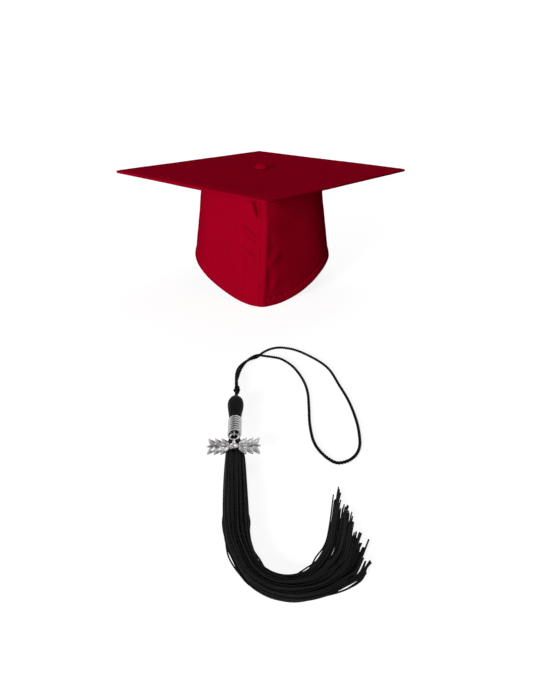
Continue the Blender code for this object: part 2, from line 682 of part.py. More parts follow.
def build_cord(yarn, parent):
    """The cord: out of the knot, twisted with its other leg, round the open loop and back."""
    spread = (CORD_DIAMETER + LEG_GAP) / 2
    knot_height = KNOT_DIAMETER / 2
    legs_height = CORD_DIAMETER / 2 + spread
    middles = smooth_line([(x, y, 0) for x, y in LEGS_ROUTE], CORD_POINT_SPACING)
    legs = {1: [], -1: []}
    for i, middle in enumerate(middles):
        share = max(i - 1, 0) / (len(middles) - 2)
        ahead = middles[min(i + 1, len(middles) - 1)] - middles[max(i - 1, 0)]
        left = Vector((-ahead.y, ahead.x, 0)).normalized()
        angle = math.pi / 2 - 2 * math.pi * LEG_TWISTS * share
        lift = knot_height + (legs_height - knot_height) * min(share / LEG_SETTLE, 1)
        for side, leg in legs.items():
            leg.append(middle + side * spread * (left * math.cos(angle) + Vector((0, 0, math.sin(angle))))
                       + Vector((0, 0, lift)))
    loop = [Vector((x, y, CORD_DIAMETER / 2)) for x, y in LOOP_ROUTE]
    whole = legs[1][-2:] + loop + legs[-1][:-3:-1]
    round_loop = smooth_line(whole, CORD_POINT_SPACING)
    route = legs[1][:-2] + round_loop + legs[-1][-3::-1]
    return tube("tassel_cord", yarn, route, CORD_DIAMETER, 2, parent)


def pivot(name, place_at, parent=None):
    """An empty on a joint's axis."""
    empty = bpy.data.objects.new(name, None)
    bpy.context.scene.collection.objects.link(empty)
    empty.location = place_at
    empty.parent = parent
    return empty


def build_tassel(yarn, metal):
    """The loose tassel, laid out along its own pivot."""
    tassel = pivot("tassel_pivot", (TASSEL_X, TASSEL_Y, 0))
    build_cord(yarn, tassel)
    build_knot(yarn, tassel)
    build_head(yarn, tassel)
    build_band(metal, tassel)
    build_skirt(yarn, tassel)
    build_eye(metal, tassel)
    build_charm(metal, pivot("charm_pivot", (0, -EYE_ALONG, EYE_HEIGHT), tassel))


clear_scene()
RED_CLOTH = make_material("red_cloth", (0.30, 0.002, 0.014), 0.75)
CARD = make_material("grey_card", (0.45, 0.40, 0.33), 0.9)
LINING = make_material("black_lining", (0.02, 0.02, 0.022), 0.8)
BAND_CLOTH = make_material("band_cloth", (0.03, 0.03, 0.032), 0.6)
ELASTIC = make_material("black_elastic", (0.025, 0.025, 0.025), 0.85)
STEEL = make_material("bright_steel", (0.75, 0.75, 0.76), 0.25, 1.0)
BLACK_YARN = make_material("black_yarn", (0.008, 0.008, 0.009), 0.55)
build_board(RED_CLOTH, CARD)
build_button(RED_CLOTH, STEEL)
build_skullcap(RED_CLOTH, LINING, BAND_CLOTH, ELASTIC)
build_tassel(BLACK_YARN, STEEL)
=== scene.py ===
"""Square academic cap in deep red cloth, with its loose black tassel laid in front of it."""
import math
import random

import bmesh
import bpy
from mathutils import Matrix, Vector, noise


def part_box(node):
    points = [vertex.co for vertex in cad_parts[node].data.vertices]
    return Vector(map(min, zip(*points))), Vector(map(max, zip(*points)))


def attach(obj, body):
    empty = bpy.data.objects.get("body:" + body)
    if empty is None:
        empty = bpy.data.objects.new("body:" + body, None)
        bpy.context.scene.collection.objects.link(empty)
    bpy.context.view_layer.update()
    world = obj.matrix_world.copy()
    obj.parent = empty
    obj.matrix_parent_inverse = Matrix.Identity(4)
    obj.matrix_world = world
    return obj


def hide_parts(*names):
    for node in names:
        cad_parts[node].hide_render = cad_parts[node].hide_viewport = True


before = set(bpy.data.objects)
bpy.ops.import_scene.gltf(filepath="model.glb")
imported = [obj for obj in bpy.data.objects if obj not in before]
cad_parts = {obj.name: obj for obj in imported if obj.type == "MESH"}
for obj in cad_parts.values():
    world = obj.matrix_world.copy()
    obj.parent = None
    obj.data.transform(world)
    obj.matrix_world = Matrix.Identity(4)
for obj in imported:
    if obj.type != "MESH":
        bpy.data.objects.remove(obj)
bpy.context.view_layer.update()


# Board core: a square of stiff grey card that keeps the board flat. It lies between the two cloth
# covers, with a hole punched through its middle for the button's rivet.
def add_node(tree, kind, inputs=None, **settings):
    """A node with its settings; each input is a value or another node's output."""
    node = tree.nodes.new(kind)
    for name, value in settings.items():
        setattr(node, name, value)
    for key, value in (inputs or {}).items():
        if isinstance(value, bpy.types.NodeSocket):
            tree.links.new(value, node.inputs[key])
        else:
            node.inputs[key].default_value = value
    return node


def reckon(tree, operation, first, second=0.0):
    """One sum on values that change over the surface."""
    return add_node(tree, "ShaderNodeMath", {0: first, 1: second}, operation=operation).outputs[0]


def spread(tree, value, low, high):
    """A value from 0 to 1 carried to the range from low to high."""
    return add_node(tree, "ShaderNodeMapRange", {"Value": value, "To Min": low, "To Max": high}).outputs[0]


def mix_colours(tree, share, low, high):
    """The colour that lies a share of the way from one to another."""
    mix = add_node(tree, "ShaderNodeMix", {0: share, 6: (*low, 1.0), 7: (*high, 1.0)}, data_type="RGBA")
    return mix.outputs[2]


def speckle(tree, place, scale, detail=2.0):
    """Soft noise at a number of specks to the metre."""
    settings = {"Vector": place, "Scale": scale, "Detail": detail}
    return add_node(tree, "ShaderNodeTexNoise", settings).outputs[0]


def object_place(tree):
    """Each point's place in metres."""
    return add_node(tree, "ShaderNodeTexCoord").outputs["Object"]


def raise_surface(tree, shader, height, distance, strength=1.0):
    """Bump the surface by a height that changes over it."""
    bump = add_node(tree, "ShaderNodeBump", {"Height": height, "Distance": distance, "Strength": strength})
    tree.links.new(bump.outputs[0], shader.inputs["Normal"])


def shade_surface(tree, shader, share, colours, rough, roughness):
    """Colour a surface between two shades by one value over it, and set its roughness by another."""
    tree.links.new(mix_colours(tree, share, *colours), shader.inputs["Base Color"])
    tree.links.new(spread(tree, rough, *roughness), shader.inputs["Roughness"])


def start_finish(name, sockets):
    """A material with plain values on its shader's own sockets, its node tree and its shader."""
    finish = bpy.data.materials.new(name)
    finish.use_nodes = True
    shader = finish.node_tree.nodes["Principled BSDF"]
    for socket, value in sockets.items():
        shader.inputs[socket].default_value = value
    return finish, finish.node_tree, shader


card, tree, shader = start_finish("card_stock", {"Specular IOR Level": 0.15})
fibres = speckle(tree, object_place(tree), 1400, 6)
shade_surface(tree, shader, fibres, ((0.36, 0.32, 0.26), (0.52, 0.47, 0.40)), fibres, (0.8, 0.98))
raise_surface(tree, shader, fibres, 0.0001)
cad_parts["board_core"].material_slots[0].material = card


# Board covers: a top and an under sheet of deep red polyester twill, drawn over the card and turned
# in along the middle of its edge. The cloth lies flat on top and ripples a little at the corners.
def make_weave():
    """Twill as a group: the height of the yarns, which yarn is on the face, and thick and thin yarns."""
    group = bpy.data.node_groups.new("twill_weave", "ShaderNodeTree")
    group.interface.new_socket("Place", in_out="INPUT", socket_type="NodeSocketVector")
    group.interface.new_socket("Yarns per metre", in_out="INPUT", socket_type="NodeSocketFloat")
    for name in ("Height", "Face yarn", "Slub"):
        group.interface.new_socket(name, in_out="OUTPUT", socket_type="NodeSocketFloat")
    source = group.nodes.new("NodeGroupInput").outputs
    result = group.nodes.new("NodeGroupOutput").inputs
    yarns = add_node(group, "ShaderNodeVectorMath", {0: source[0], "Scale": source[1]}, operation="SCALE")
    across, along, _ = add_node(group, "ShaderNodeSeparateXYZ", {0: yarns.outputs[0]}).outputs
    domes, numbers = [], []
    for value in (across, along):
        part = reckon(group, "FRACT", value)
        rest = reckon(group, "SUBTRACT", 1.0, part)
        domes.append(reckon(group, "MULTIPLY", reckon(group, "MULTIPLY", part, rest), 4.0))
        numbers.append(reckon(group, "FLOOR", value))
    step = reckon(group, "FLOORED_MODULO", reckon(group, "ADD", *numbers), 3.0)
    face = reckon(group, "LESS_THAN", step, 1.5)
    height = add_node(group, "ShaderNodeMix", {0: face, 2: domes[1], 3: domes[0]}).outputs[0]
    slub = add_node(group, "ShaderNodeTexWhiteNoise", {"W": numbers[0]}, noise_dimensions="1D").outputs[0]
    for socket, value in zip(result, (height, face, slub)):
        group.links.new(value, socket)
    return group


def weave_finish(name, sockets, yarns, low, high, depth, roughness):
    """A woven finish on the piece's own cloth map, between two shades of its colour."""
    finish, tree, shader = start_finish(name, sockets)
    place = add_node(tree, "ShaderNodeUVMap", uv_map="cloth").outputs[0]
    weave = add_node(tree, "ShaderNodeGroup", node_tree=twill)
    tree.links.new(place, weave.inputs["Place"])
    weave.inputs["Yarns per metre"].default_value = yarns
    height, face, slub = weave.outputs
    mottle = speckle(tree, object_place(tree), 45, 3)
    shade = reckon(tree, "ADD", spread(tree, face, 0.0, 0.25), spread(tree, slub, 0.0, 0.30))
    shade = reckon(tree, "ADD", shade, spread(tree, mottle, 0.0, 0.45))
    shade_surface(tree, shader, shade, (low, high), mottle, roughness)
    raise_surface(tree, shader, height, depth, 0.6)
    return finish


def add_object(name, data):
    """An object in the scene that shows the given data."""
    added = bpy.data.objects.new(name, data)
    bpy.context.scene.collection.objects.link(added)
    return added


def loft(name, finish, loops, ring=False, flat=None, guide=0):
    """A closed body through loops of equal length, with a cloth map in metres.

    The map runs along each loop, and from loop to loop at the guide point, unless flat gives it from
    a point. A ring joins its last loop to its first.
    """
    count = len(loops[0])
    shape = bmesh.new()
    cloth = shape.loops.layers.uv.new("cloth")
    rows = [[shape.verts.new(point) for point in loop] for loop in loops]
    reach = [0.0]
    for low, high in zip(loops, loops[1:] + loops[:1]):
        reach.append(reach[-1] + (high[guide] - low[guide]).length)
    lengths = []
    for loop in loops:
        length = [0.0]
        for p, q in zip(loop, loop[1:] + loop[:1]):
            length.append(length[-1] + (q - p).length)
        lengths.append(length)

    def add_face(spots):
        face = shape.faces.new([rows[i % len(rows)][j % count] for i, j in spots])
        for corner, (i, j) in zip(face.loops, spots):
            corner[cloth].uv = flat(corner.vert.co) if flat else (reach[i], lengths[i % len(rows)][j])

    for i in range(len(rows) if ring else len(rows) - 1):
        for j in range(count):
            add_face([(i, j), (i, j + 1), (i + 1, j + 1), (i + 1, j)])
    if not ring:
        add_face([(0, j) for j in range(count)])
        add_face([(len(rows) - 1, j) for j in range(count)])
    bmesh.ops.recalc_face_normals(shape, faces=shape.faces)
    mesh = bpy.data.meshes.new(name)
    shape.to_mesh(mesh)
    shape.free()
    mesh.shade_smooth()
    mesh.set_sharp_from_angle(angle=math.radians(55))
    mesh.materials.append(finish)
    return add_object(name, mesh)


def fit(piece, body, slot, *nodes):
    """Set a finished piece on its body and in place of CAD nodes. The slot is not used."""
    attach(piece, body)
    if nodes:
        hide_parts(*nodes)
    return piece


def ease(share):
    """A smooth step from 0 to 1."""
    share = min(max(share, 0.0), 1.0)
    return share * share * (3 - 2 * share)


def around(count):
    """Even turns of one full circle."""
    return [2 * math.pi * i / count for i in range(count)]


twill = make_weave()
red_cloth = weave_finish("deep_red_twill", {"Specular IOR Level": 0.0, "Sheen Weight": 0.06,
                                            "Sheen Roughness": 0.5, "Sheen Tint": (0.60, 0.01, 0.05, 1)},
                         2600, (0.30, 0.0004, 0.0115), (0.47, 0.0008, 0.0190), 0.00012, (0.62, 0.82))

BOARD_HALF = 0.120
BOARD_CORNER = 0.004
EDGE_ROLL = 0.0120
EDGE_DROP = 0.0021
EDGE_FULLNESS = 2.5
COVER_EDGE = 0.0010
SEAM_GAP = 0.00002
FLAT_REACH = 0.106
FLAT_RINGS = 17
ROLL_STEPS = 14
SIDE_STEPS = 40
CORNER_STEPS = 9
COVER_GAP = 0.0003
SEAM_LIP = 0.0003
BUTTON_SEAT = 0.0098
RIVET_HOLE = 0.0018
board_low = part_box("board_under_cover")[0].z
board_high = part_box("board_top_cover")[1].z
edge_seam = (board_low + board_high) / 2


def board_ring(inset):
    """Rounded square with its corners on the axes, drawn in by the inset."""
    half = BOARD_HALF - inset
    radius = max(BOARD_CORNER - inset, BOARD_CORNER / 4)
    arcs = []
    for corner in range(4):
        middle = corner * math.pi / 2
        centre = Vector((math.cos(middle), math.sin(middle))) * (half - radius) * math.sqrt(2)
        turns = [middle + math.pi / 2 * (i / (CORNER_STEPS - 1) - 0.5) for i in range(CORNER_STEPS)]
        arcs.append([centre + Vector((math.cos(turn), math.sin(turn))) * radius for turn in turns])
    points = []
    for arc, following in zip(arcs, arcs[1:] + arcs[:1]):
        points += arc
        points += [arc[-1].lerp(following[0], i / SIDE_STEPS) for i in range(1, SIDE_STEPS)]
    return points


def middle_ring(radius):
    """Circle round the rivet, point for point with the board's rings."""
    outline = board_ring(0)
    return [point.normalized() * radius for point in outline]


def board_ripple(point):
    """Height of the cloth's own waves: broad over the board, short across its edges and corners."""
    side = BOARD_HALF - max(abs(point.x + point.y), abs(point.x - point.y)) / math.sqrt(2)
    along = min(abs(point.x + point.y), abs(point.x - point.y)) / math.sqrt(2)
    broad = 0.00022 * noise.noise(Vector((point.x * 17, point.y * 17, 0.3)))
    short = 0.00016 * noise.noise(Vector((point.x * 110, point.y * 110, 4.1))) * math.exp(-side / 0.010)
    corner = 0.0003 * math.sin(along * 900) * ease((along - 0.102) / 0.012) * ease((0.119 - along) / 0.004)
    return broad + short + corner * math.exp(-side / 0.012)


def board_cover(name, face, inside):
    """A cover from the rivet out over the rounded edge to the edge seam, and back inside."""
    up = 1 if face > inside else -1
    rings = [(middle_ring(RIVET_HOLE), face - up * COVER_GAP), (middle_ring(BUTTON_SEAT), face)]
    for i in range(FLAT_RINGS):
        inset = EDGE_ROLL + (FLAT_REACH - EDGE_ROLL) * (1 - (i + 1) / FLAT_RINGS) ** 1.6
        rings.append((board_ring(inset), face))
    for i in range(1, ROLL_STEPS + 1):
        reach = math.sin(math.pi / 2 * i / ROLL_STEPS) ** (2 / EDGE_FULLNESS)
        drop = EDGE_DROP * (1 - (1 - reach ** EDGE_FULLNESS) ** (1 / EDGE_FULLNESS))
        rings.append((board_ring(EDGE_ROLL * (1 - reach)), face - up * drop))
    seam = edge_seam + up * SEAM_GAP
    rings += [(board_ring(SEAM_LIP), seam), (board_ring(COVER_EDGE), seam),
              (board_ring(COVER_EDGE), inside - up * 0.0002), (middle_ring(RIVET_HOLE), inside)]
    loops = []
    for number, (ring, z) in enumerate(rings):
        lift = up if 0 < number < len(rings) - 4 else 0
        loops.append([Vector((p.x, p.y, z + lift * board_ripple(p))) for p in ring])
    diagonal = math.sqrt(0.5)
    return loft(name, red_cloth, loops, ring=True,
                flat=lambda p: ((p.x + p.y) * diagonal, (p.y - p.x) * diagonal + p.z))


top_cover = board_cover("board_cloth_top", board_high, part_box("board_core")[1].z + COVER_GAP)
under_cover = board_cover("board_cloth_under", board_low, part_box("board_core")[0].z - COVER_GAP)
fit(top_cover, "cap", "red_cloth", "board_top_cover")
fit(under_cover, "cap", "red_cloth", "board_under_cover")


# Button: a pressed shell with the board's cloth drawn over it and gathered in small pleats under its
# rim. A steel back plate closes it, and a rivet through the board clinches over a washer inside.
BUTTON_STEPS = 96
BUTTON_ROWS = 22
BUTTON_DOME = 0.86
BUTTON_LIP = 0.0014
BUTTON_TUCK = 0.0007
BUTTON_PLEATS = 22
PLEAT_DEPTH = 0.00042
button_low, button_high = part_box("button_cover")
button_radius = (button_high.x - button_low.x) / 2
button_loops = []
for i in range(BUTTON_ROWS):
    share = (i + 0.4) / (BUTTON_ROWS - 0.6)
    if share < BUTTON_DOME:
        turn = math.pi / 2 * (1 - share / BUTTON_DOME)
        radius = button_radius * math.cos(turn)
        z = button_low.z + BUTTON_LIP + (button_high.z - button_low.z - BUTTON_LIP) * math.sin(turn)
    else:
        under = (share - BUTTON_DOME) / (1 - BUTTON_DOME)
        radius = button_radius - BUTTON_TUCK * under ** 2
        z = button_low.z + BUTTON_LIP * (1 - under)
    loop = []
    for turn in around(BUTTON_STEPS):
        uneven = 0.6 * noise.noise(Vector((math.cos(turn) * 2, math.sin(turn) * 2, 0.7)))
        pleat = PLEAT_DEPTH * ease((share - 0.42) / 0.5) * math.cos(BUTTON_PLEATS * (turn + uneven * 0.2))
        out = radius - pleat + 0.0001 * uneven
        loop.append(Vector((out * math.cos(turn), out * math.sin(turn), z)))
    button_loops.append(loop)
button = loft("button_cloth", red_cloth, button_loops,
              flat=lambda p: (p.x * 1.2, p.y * 1.2 + (button_high.z - p.z) * 0.5))
fit(button, "cap", "red_cloth", "button_cover")

steel, tree, shader = start_finish("pressed_steel", {"Base Color": (0.66, 0.66, 0.67, 1), "Metallic": 1.0})
stretch = {"Vector": object_place(tree), "Scale": (1.0, 1.0, 0.05)}
turned = add_node(tree, "ShaderNodeMapping", stretch).outputs[0]
scratches = speckle(tree, turned, 3200, 4)
tree.links.new(spread(tree, scratches, 0.22, 0.46), shader.inputs["Roughness"])
raise_surface(tree, shader, scratches, 0.00003)
for name in ("button_back_plate", "button_rivet", "button_washer"):
    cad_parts[name].material_slots[0].material = steel


# Skullcap panels: a left and a right side of the same cloth, joined down the front and turned in
# under the board at the top. A deep tuck and short puckers show where the front seam draws them.
CAP_HEIGHT = board_low
CROWN_HALF_WIDTH = 0.0684
CROWN_HALF_LENGTH = 0.0880
BASE_HALF_WIDTH = 0.0874
BASE_HALF_LENGTH = 0.0975
FRONT_CREASE = 0.45
RIM_RISE = 0.033
RIM_CURVE = 1.8
FRONT_REST_WIDTH = 0.024
BACK_REST_WIDTH = 0.080
GUSSET_BASE_WIDTH = 0.078
GUSSET_CROWN_WIDTH = 0.036
GAP = 0.0003
PANEL_THICKNESS = 0.0010
SEAM_ALLOWANCE = 0.006
HEM_STITCH = 0.0088
LAP_EDGE = -0.0067
LAP_LEAN = math.radians(1.5)
LAP_WIDTH = 0.0082
RIDGE_BLUNT = 0.016
TUCK_FOOT = 0.0925
TUCK_DEPTH = 0.0072
TUCK_WALL = 0.0020
TUCK_SLOPE = 0.62
TUCK_POINT = -0.0062
TUCK_LEAN = 0.42
TUCK_LEFT = -0.0150
TUCK_LIP = 0.0005
SEAM_PULL = 0.013
HEM_ROWS = 16
HEM_ROW = 0.0009
WALL_ROWS = 70
INSIDE_ROWS = 24
MAP_ROW = 40
# Short folds beside the front seam: x and height of both ends, half width, and how far it stands out
FRONT_FOLDS = [(-0.0205, 0.0830, -0.0070, 0.0690, 0.0042, -0.0046),
               (-0.0240, 0.0910, -0.0080, 0.0800, 0.0048, 0.0022),
               (-0.0290, 0.0620, -0.0085, 0.0470, 0.0050, -0.0042),
               (-0.0220, 0.0430, -0.0075, 0.0310, 0.0046, -0.0034),
               (0.0060, 0.0470, 0.0165, 0.0570, 0.0034, 0.0014),
               (0.0050, 0.0580, 0.0130, 0.0670, 0.0034, -0.0011),
               (0.0066, 0.0200, 0.0064, 0.0430, 0.0036, -0.0007),
               (0.0100, 0.0190, 0.0165, 0.0330, 0.0034, 0.0009),
               (0.0074, 0.0640, 0.0074, 0.0800, 0.0034, -0.0006)]


def half_width(z):
    """Half the skullcap's width at a height."""
    return BASE_HALF_WIDTH + (CROWN_HALF_WIDTH - BASE_HALF_WIDTH) * z / CAP_HEIGHT


def wall_point(turn, z, depth):
    """Point of the wall: turn is 0 at the front and pi at the back, and depth goes inwards."""
    half_length = BASE_HALF_LENGTH + (CROWN_HALF_LENGTH - BASE_HALF_LENGTH) * z / CAP_HEIGHT
    across, along = math.sin(turn), math.cos(turn)
    slack = math.exp(-z / 0.016)
    ridge = (lap_edge(z) + LAP_WIDTH - 0.0035 * slack) / half_width(z)
    rim_blunt = 0.05 * slack
    blunt = RIDGE_BLUNT + rim_blunt + 0.05 * ease((z - 0.088) / 0.025)
    crease = 1 - FRONT_CREASE * (math.hypot(across - ridge, blunt) - rim_blunt) * max(along, 0)
    return Vector(((half_width(z) - depth) * across, -(half_length - depth) * along * crease, z))


def rim_height(turn):
    """Height of the rim: it rests flat at the front and back and arches up at the sides."""
    rest = FRONT_REST_WIDTH if math.cos(turn) > 0 else BACK_REST_WIDTH
    flat = rest / 2 / BASE_HALF_WIDTH
    return RIM_RISE * (max(abs(math.sin(turn)) - flat, 0) / (1 - flat)) ** RIM_CURVE


def gusset_turn(z, gap):
    """Turn at which the right panel ends and the back gusset begins, less a gap."""
    width = GUSSET_BASE_WIDTH + (GUSSET_CROWN_WIDTH - GUSSET_BASE_WIDTH) * z / CAP_HEIGHT
    return math.pi - math.asin((width / 2 + gap) / half_width(z))


def lap_edge(z):
    """The lap's left edge, which leans to the left towards the rim."""
    return LAP_EDGE + math.tan(LAP_LEAN) * z


def fold(x, z, start_x, start_z, end_x, end_z, half, height):
    """Height of one soft fold between two points of the wall."""
    run = Vector((end_x - start_x, end_z - start_z))
    away = Vector((x - start_x, z - start_z))
    along = away.dot(run) / run.length_squared
    across = (away.x * run.y - away.y * run.x) / run.length
    past = max(abs(along - 0.5) - 0.3, 0)
    return height * math.exp(-(across / half) ** 2 - (past / 0.22) ** 2)


def front_tuck(x, z):
    """The deep tuck at the top of the left panel, open towards the board: a proud lip, then a pocket."""
    above = z - TUCK_FOOT
    if above < 0:
        return 0.0
    left = max(TUCK_POINT - TUCK_LEAN * above, TUCK_LEFT)
    right = lap_edge(z) - 0.0004
    lip = TUCK_LIP * ease(above / 0.008) * math.exp(-((x - left + 0.0012) / 0.0016) ** 2)
    slope = max(TUCK_SLOPE * (right - left), TUCK_WALL)
    pocket = ease((x - left) / slope) * (1 - ease((x - right + TUCK_WALL) / TUCK_WALL))
    return lip - TUCK_DEPTH * ease(above / 0.010) * pocket


def soft_wave(turn, z):
    """Broad unevenness of the hanging cloth."""
    point = wall_point(turn, z, 0)
    return 0.0010 * noise.noise(point * 21) + 0.0004 * noise.noise(point * 55 + Vector((0, 0, 7)))


def hem_swell(turn, z):
    """The groove that the hem's stitching pulls in, thicker cloth below it, and puckers at the board."""
    above = z - rim_height(turn)
    pucker = 1 + 0.5 * math.sin(turn * 78) + 0.6 * noise.noise(Vector((turn * 31, 1.5, 0)))
    groove = 0.00075 * pucker * math.exp(-((above - HEM_STITCH) / 0.0016) ** 2)
    crown = ease((z - 0.112) / 0.014)
    return (0.00060 * ease((HEM_STITCH - above) / 0.0025) - groove
            + 0.00035 * crown * noise.noise(Vector((turn * 26, z * 30, 3))))


def swell(turn, z):
    """How far the cloth stands out from the even wall."""
    out = soft_wave(turn, z) + hem_swell(turn, z)
    if math.cos(turn) > 0:
        x = half_width(z) * math.sin(turn)
        out += front_tuck(x, z) + sum(fold(x, z, *values) for values in FRONT_FOLDS)
        drawn = z * 620 + 9 * noise.noise(Vector((z * 40, 0, 2)))
        out += 0.00025 * math.sin(drawn) * math.exp(-abs(x) / SEAM_PULL)
    return out


def inside_swell(turn, z):
    """Unevenness of the inner layers, which lie in broad hollows behind the folds outside."""
    if math.cos(turn) < -0.5:
        return 0.4 * soft_wave(turn, z)
    out = soft_wave(turn, z) + hem_swell(turn, z)
    if math.cos(turn) > 0:
        x = half_width(z) * math.sin(turn)
        for *ends, half, height in FRONT_FOLDS:
            out += min(fold(x, z, *ends, 2 * half, 1.2 * height), 0)
        drawn_in = ease((x + 0.034) / 0.016) * (1 - ease((x - 0.001) / 0.016))
        out -= 1.1 * TUCK_DEPTH * ease((z - TUCK_FOOT + 0.010) / 0.014) * drawn_in
        out -= 0.0004 * math.exp(-abs(x) / SEAM_PULL)
    return out


def cloth_rows(low):
    """Heights of the wall's rows from the rim to the board, close together at the hem."""
    near = [low + HEM_ROW * i for i in range(1, HEM_ROWS + 1)]
    rest = CAP_HEIGHT - GAP - near[-1]
    return near + [near[-1] + rest * i / WALL_ROWS for i in range(1, WALL_ROWS + 1)]


def panel_section(turn):
    """Section of a panel: outside from the rim to the board, its allowance, and down the inside."""
    low = rim_height(turn)
    top = CAP_HEIGHT - GAP
    outside = [(low + 0.00015, 0.00015), *[(z, 0.0) for z in cloth_rows(low)]]
    inner = top - PANEL_THICKNESS
    allowance = [(top, SEAM_ALLOWANCE), (inner, SEAM_ALLOWANCE), (inner, PANEL_THICKNESS)]
    inside = [(low + 0.0005 + (inner - low) * i / INSIDE_ROWS, PANEL_THICKNESS)
              for i in reversed(range(INSIDE_ROWS))]
    foot = [(low + 0.0001, PANEL_THICKNESS - 0.0002), (low, PANEL_THICKNESS / 2)]
    return outside + allowance + inside + foot


def wall_sheet(name, finish, section, start, end, shares, ring=False, out=inside_swell, guide=0):
    """A cloth piece carried round the wall, between two edges that may slant with height."""
    loops = []
    for share in shares:
        foot = start(0.0) + share * (end(0.0) - start(0.0))
        loop = []
        for z, depth in section(foot):
            turn = start(z) + share * (end(z) - start(z))
            uneven = out(turn, z) if depth < PANEL_THICKNESS / 2 else inside_swell(turn, z)
            loop.append(wall_point(turn, z, depth - uneven))
        loops.append(loop)
    return loft(name, finish, loops, ring, guide=guide)


def seam_turn(z, gap):
    """Turn at which the panels meet, under the middle of the front lap."""
    return math.asin((lap_edge(z) + LAP_WIDTH / 2 + gap) / half_width(z))


def panel_end(z):
    """Turn at which the right panel ends."""
    return gusset_turn(z, GAP / 2)


PANEL_STEPS = 170
shares = [0.34 * i / PANEL_STEPS + 0.66 * (i / PANEL_STEPS) ** 2.2 for i in range(PANEL_STEPS + 1)]
right_panel = wall_sheet("skullcap_right", red_cloth, panel_section, lambda z: seam_turn(z, GAP / 2),
                         panel_end, shares, out=swell, guide=MAP_ROW)
left_panel = wall_sheet("skullcap_left", red_cloth, panel_section, lambda z: seam_turn(z, -GAP / 2),
                        lambda z: -panel_end(z), shares, out=swell, guide=MAP_ROW)
for panel, node in ((left_panel, "skull_panel_left"), (right_panel, "skull_panel_right")):
    fit(panel, "cap", "red_cloth", node)


# Front lap: the right panel's edge, folded under and laid over the seam as a flat raised strip. Its free
# left edge is stitched down in red thread, and it runs over the ridge into the right panel.
LAP_HEIGHT = 0.0020
LAP_ROWS = 90
LAP_REACH = 1.3
LAP_STEPS = 26
LAP_FOOT = 0.0010
LAP_SHORT = 0.0022
STITCH_SPOT = 0.15


def lap_lift(spot):
    """How far the lap stands off the wall: a crisp rolled edge on the left, and no edge on the right."""
    rolled = ease(spot / 0.10) + 0.35 * math.exp(-((spot - 0.08) / 0.05) ** 2)
    stitched = 0.12 * math.exp(-((spot - STITCH_SPOT) / 0.05) ** 2)
    return LAP_HEIGHT * (rolled - stitched) * (1 - ease((spot - 0.55) / (LAP_REACH - 0.55)))


lap_loops = []
outer_spots = [LAP_REACH * (k / LAP_STEPS) ** 1.3 for k in range(LAP_STEPS + 1)]
inner_spots = [0.9 * LAP_REACH, 0.5 * LAP_REACH, 0.1]
for i in range(LAP_ROWS + 1):
    z = LAP_FOOT + (CAP_HEIGHT - LAP_SHORT) * i / LAP_ROWS
    loop = []
    for side, spots in ((1, outer_spots), (0, inner_spots)):
        for spot in spots:
            ragged = 0.0003 * noise.noise(Vector((z * 130, spot * 1.5, 5)))
            x = lap_edge(z) + LAP_WIDTH * spot + ragged
            turn = math.asin(x / half_width(z))
            pucker = 0.00022 * noise.noise(Vector((x * 260, z * 210, 8))) * ease(spot / 0.1)
            lift = side * (lap_lift(spot) + pucker * (1 - spot / LAP_REACH)) + 0.0001
            loop.append(wall_point(turn, z, -lift - swell(turn, z)))
    lap_loops.append(loop)
lap = loft("front_lap", red_cloth, lap_loops)
fit(lap, "cap", "red_cloth", "front_seam_lap")


# Back gusset: a tapered piece of the same cloth between the two panels, drawn up by the elastic inside
# it. Uneven gathers stand out at the rim and run out towards the board.
GATHERS = 9
GATHER_DEPTH = 0.0024
CASING_STITCHES = (0.0032, 0.0205)
GUSSET_STEPS = 180


def gusset_start(z):
    """Turn at which the gusset begins, next to the right panel."""
    return gusset_turn(z, -GAP / 2)


def gusset_end(z):
    """Turn at which the gusset ends, next to the left panel."""
    return 2 * math.pi - gusset_start(z)


def gusset_share(turn, z):
    """Share of the way across the gusset, from the right panel to the left."""
    edge = gusset_start(z)
    return (turn - edge) / (2 * math.pi - 2 * edge)


def gather(turn, z):
    """How far the gathered cloth stands out from the even wall."""
    share = gusset_share(turn, z)
    uneven = share + 0.016 * noise.noise(Vector((share * 9, z * 14, 6)))
    deep = 0.82 + 0.42 * noise.noise(Vector((round(uneven * GATHERS) * 1.7, 0.4, 9)))
    main = 0.5 - 0.5 * math.cos(2 * math.pi * GATHERS * uneven)
    above = z - rim_height(turn)
    fine = 0.00035 * math.sin(2 * math.pi * GATHERS * 3.3 * uneven) * ease((0.034 - above) / 0.02)
    pinch = max(math.exp(-((above - row) / 0.0016) ** 2) for row in CASING_STITCHES)
    fade = max(1 - z / CAP_HEIGHT, 0)
    return 0.4 * soft_wave(turn, z) + (GATHER_DEPTH * deep * main * fade + fine) * (1 - 0.45 * pinch)


gusset = wall_sheet("back_gusset_cloth", red_cloth, panel_section, gusset_start, gusset_end,
                    [i / GUSSET_STEPS for i in range(GUSSET_STEPS + 1)], out=gather, guide=MAP_ROW)
fit(gusset, "cap", "red_cloth", "back_gusset")


# Rim hem and topstitching: the cloth is turned up inside the rim and held by one row of red stitches
# right round. Two more rows close the casing on the gusset, and one runs down the lap's free edge.
HEM_INSET = 0.0006
HEM_WIDTH = 0.010
LINING_DEPTH = PANEL_THICKNESS + GAP
HEM_THICKNESS = 0.0006
STITCH_LENGTH = 0.0024
STITCH_GAP = 0.0008
THREAD = 0.00042
THREAD_LIFT = 0.00006
ROUND_STEPS = 240


def strip_section(low, high, depth, thickness, rows):
    """Section of a flat strip inside the wall, from heights above the rim."""
    def section(turn):
        heights = [rim_height(turn) + low + (high - low) * i / rows for i in range(rows + 1)]
        back = [(z, depth + thickness) for z in reversed(heights)]
        return [(z, depth) for z in heights] + back
    return section


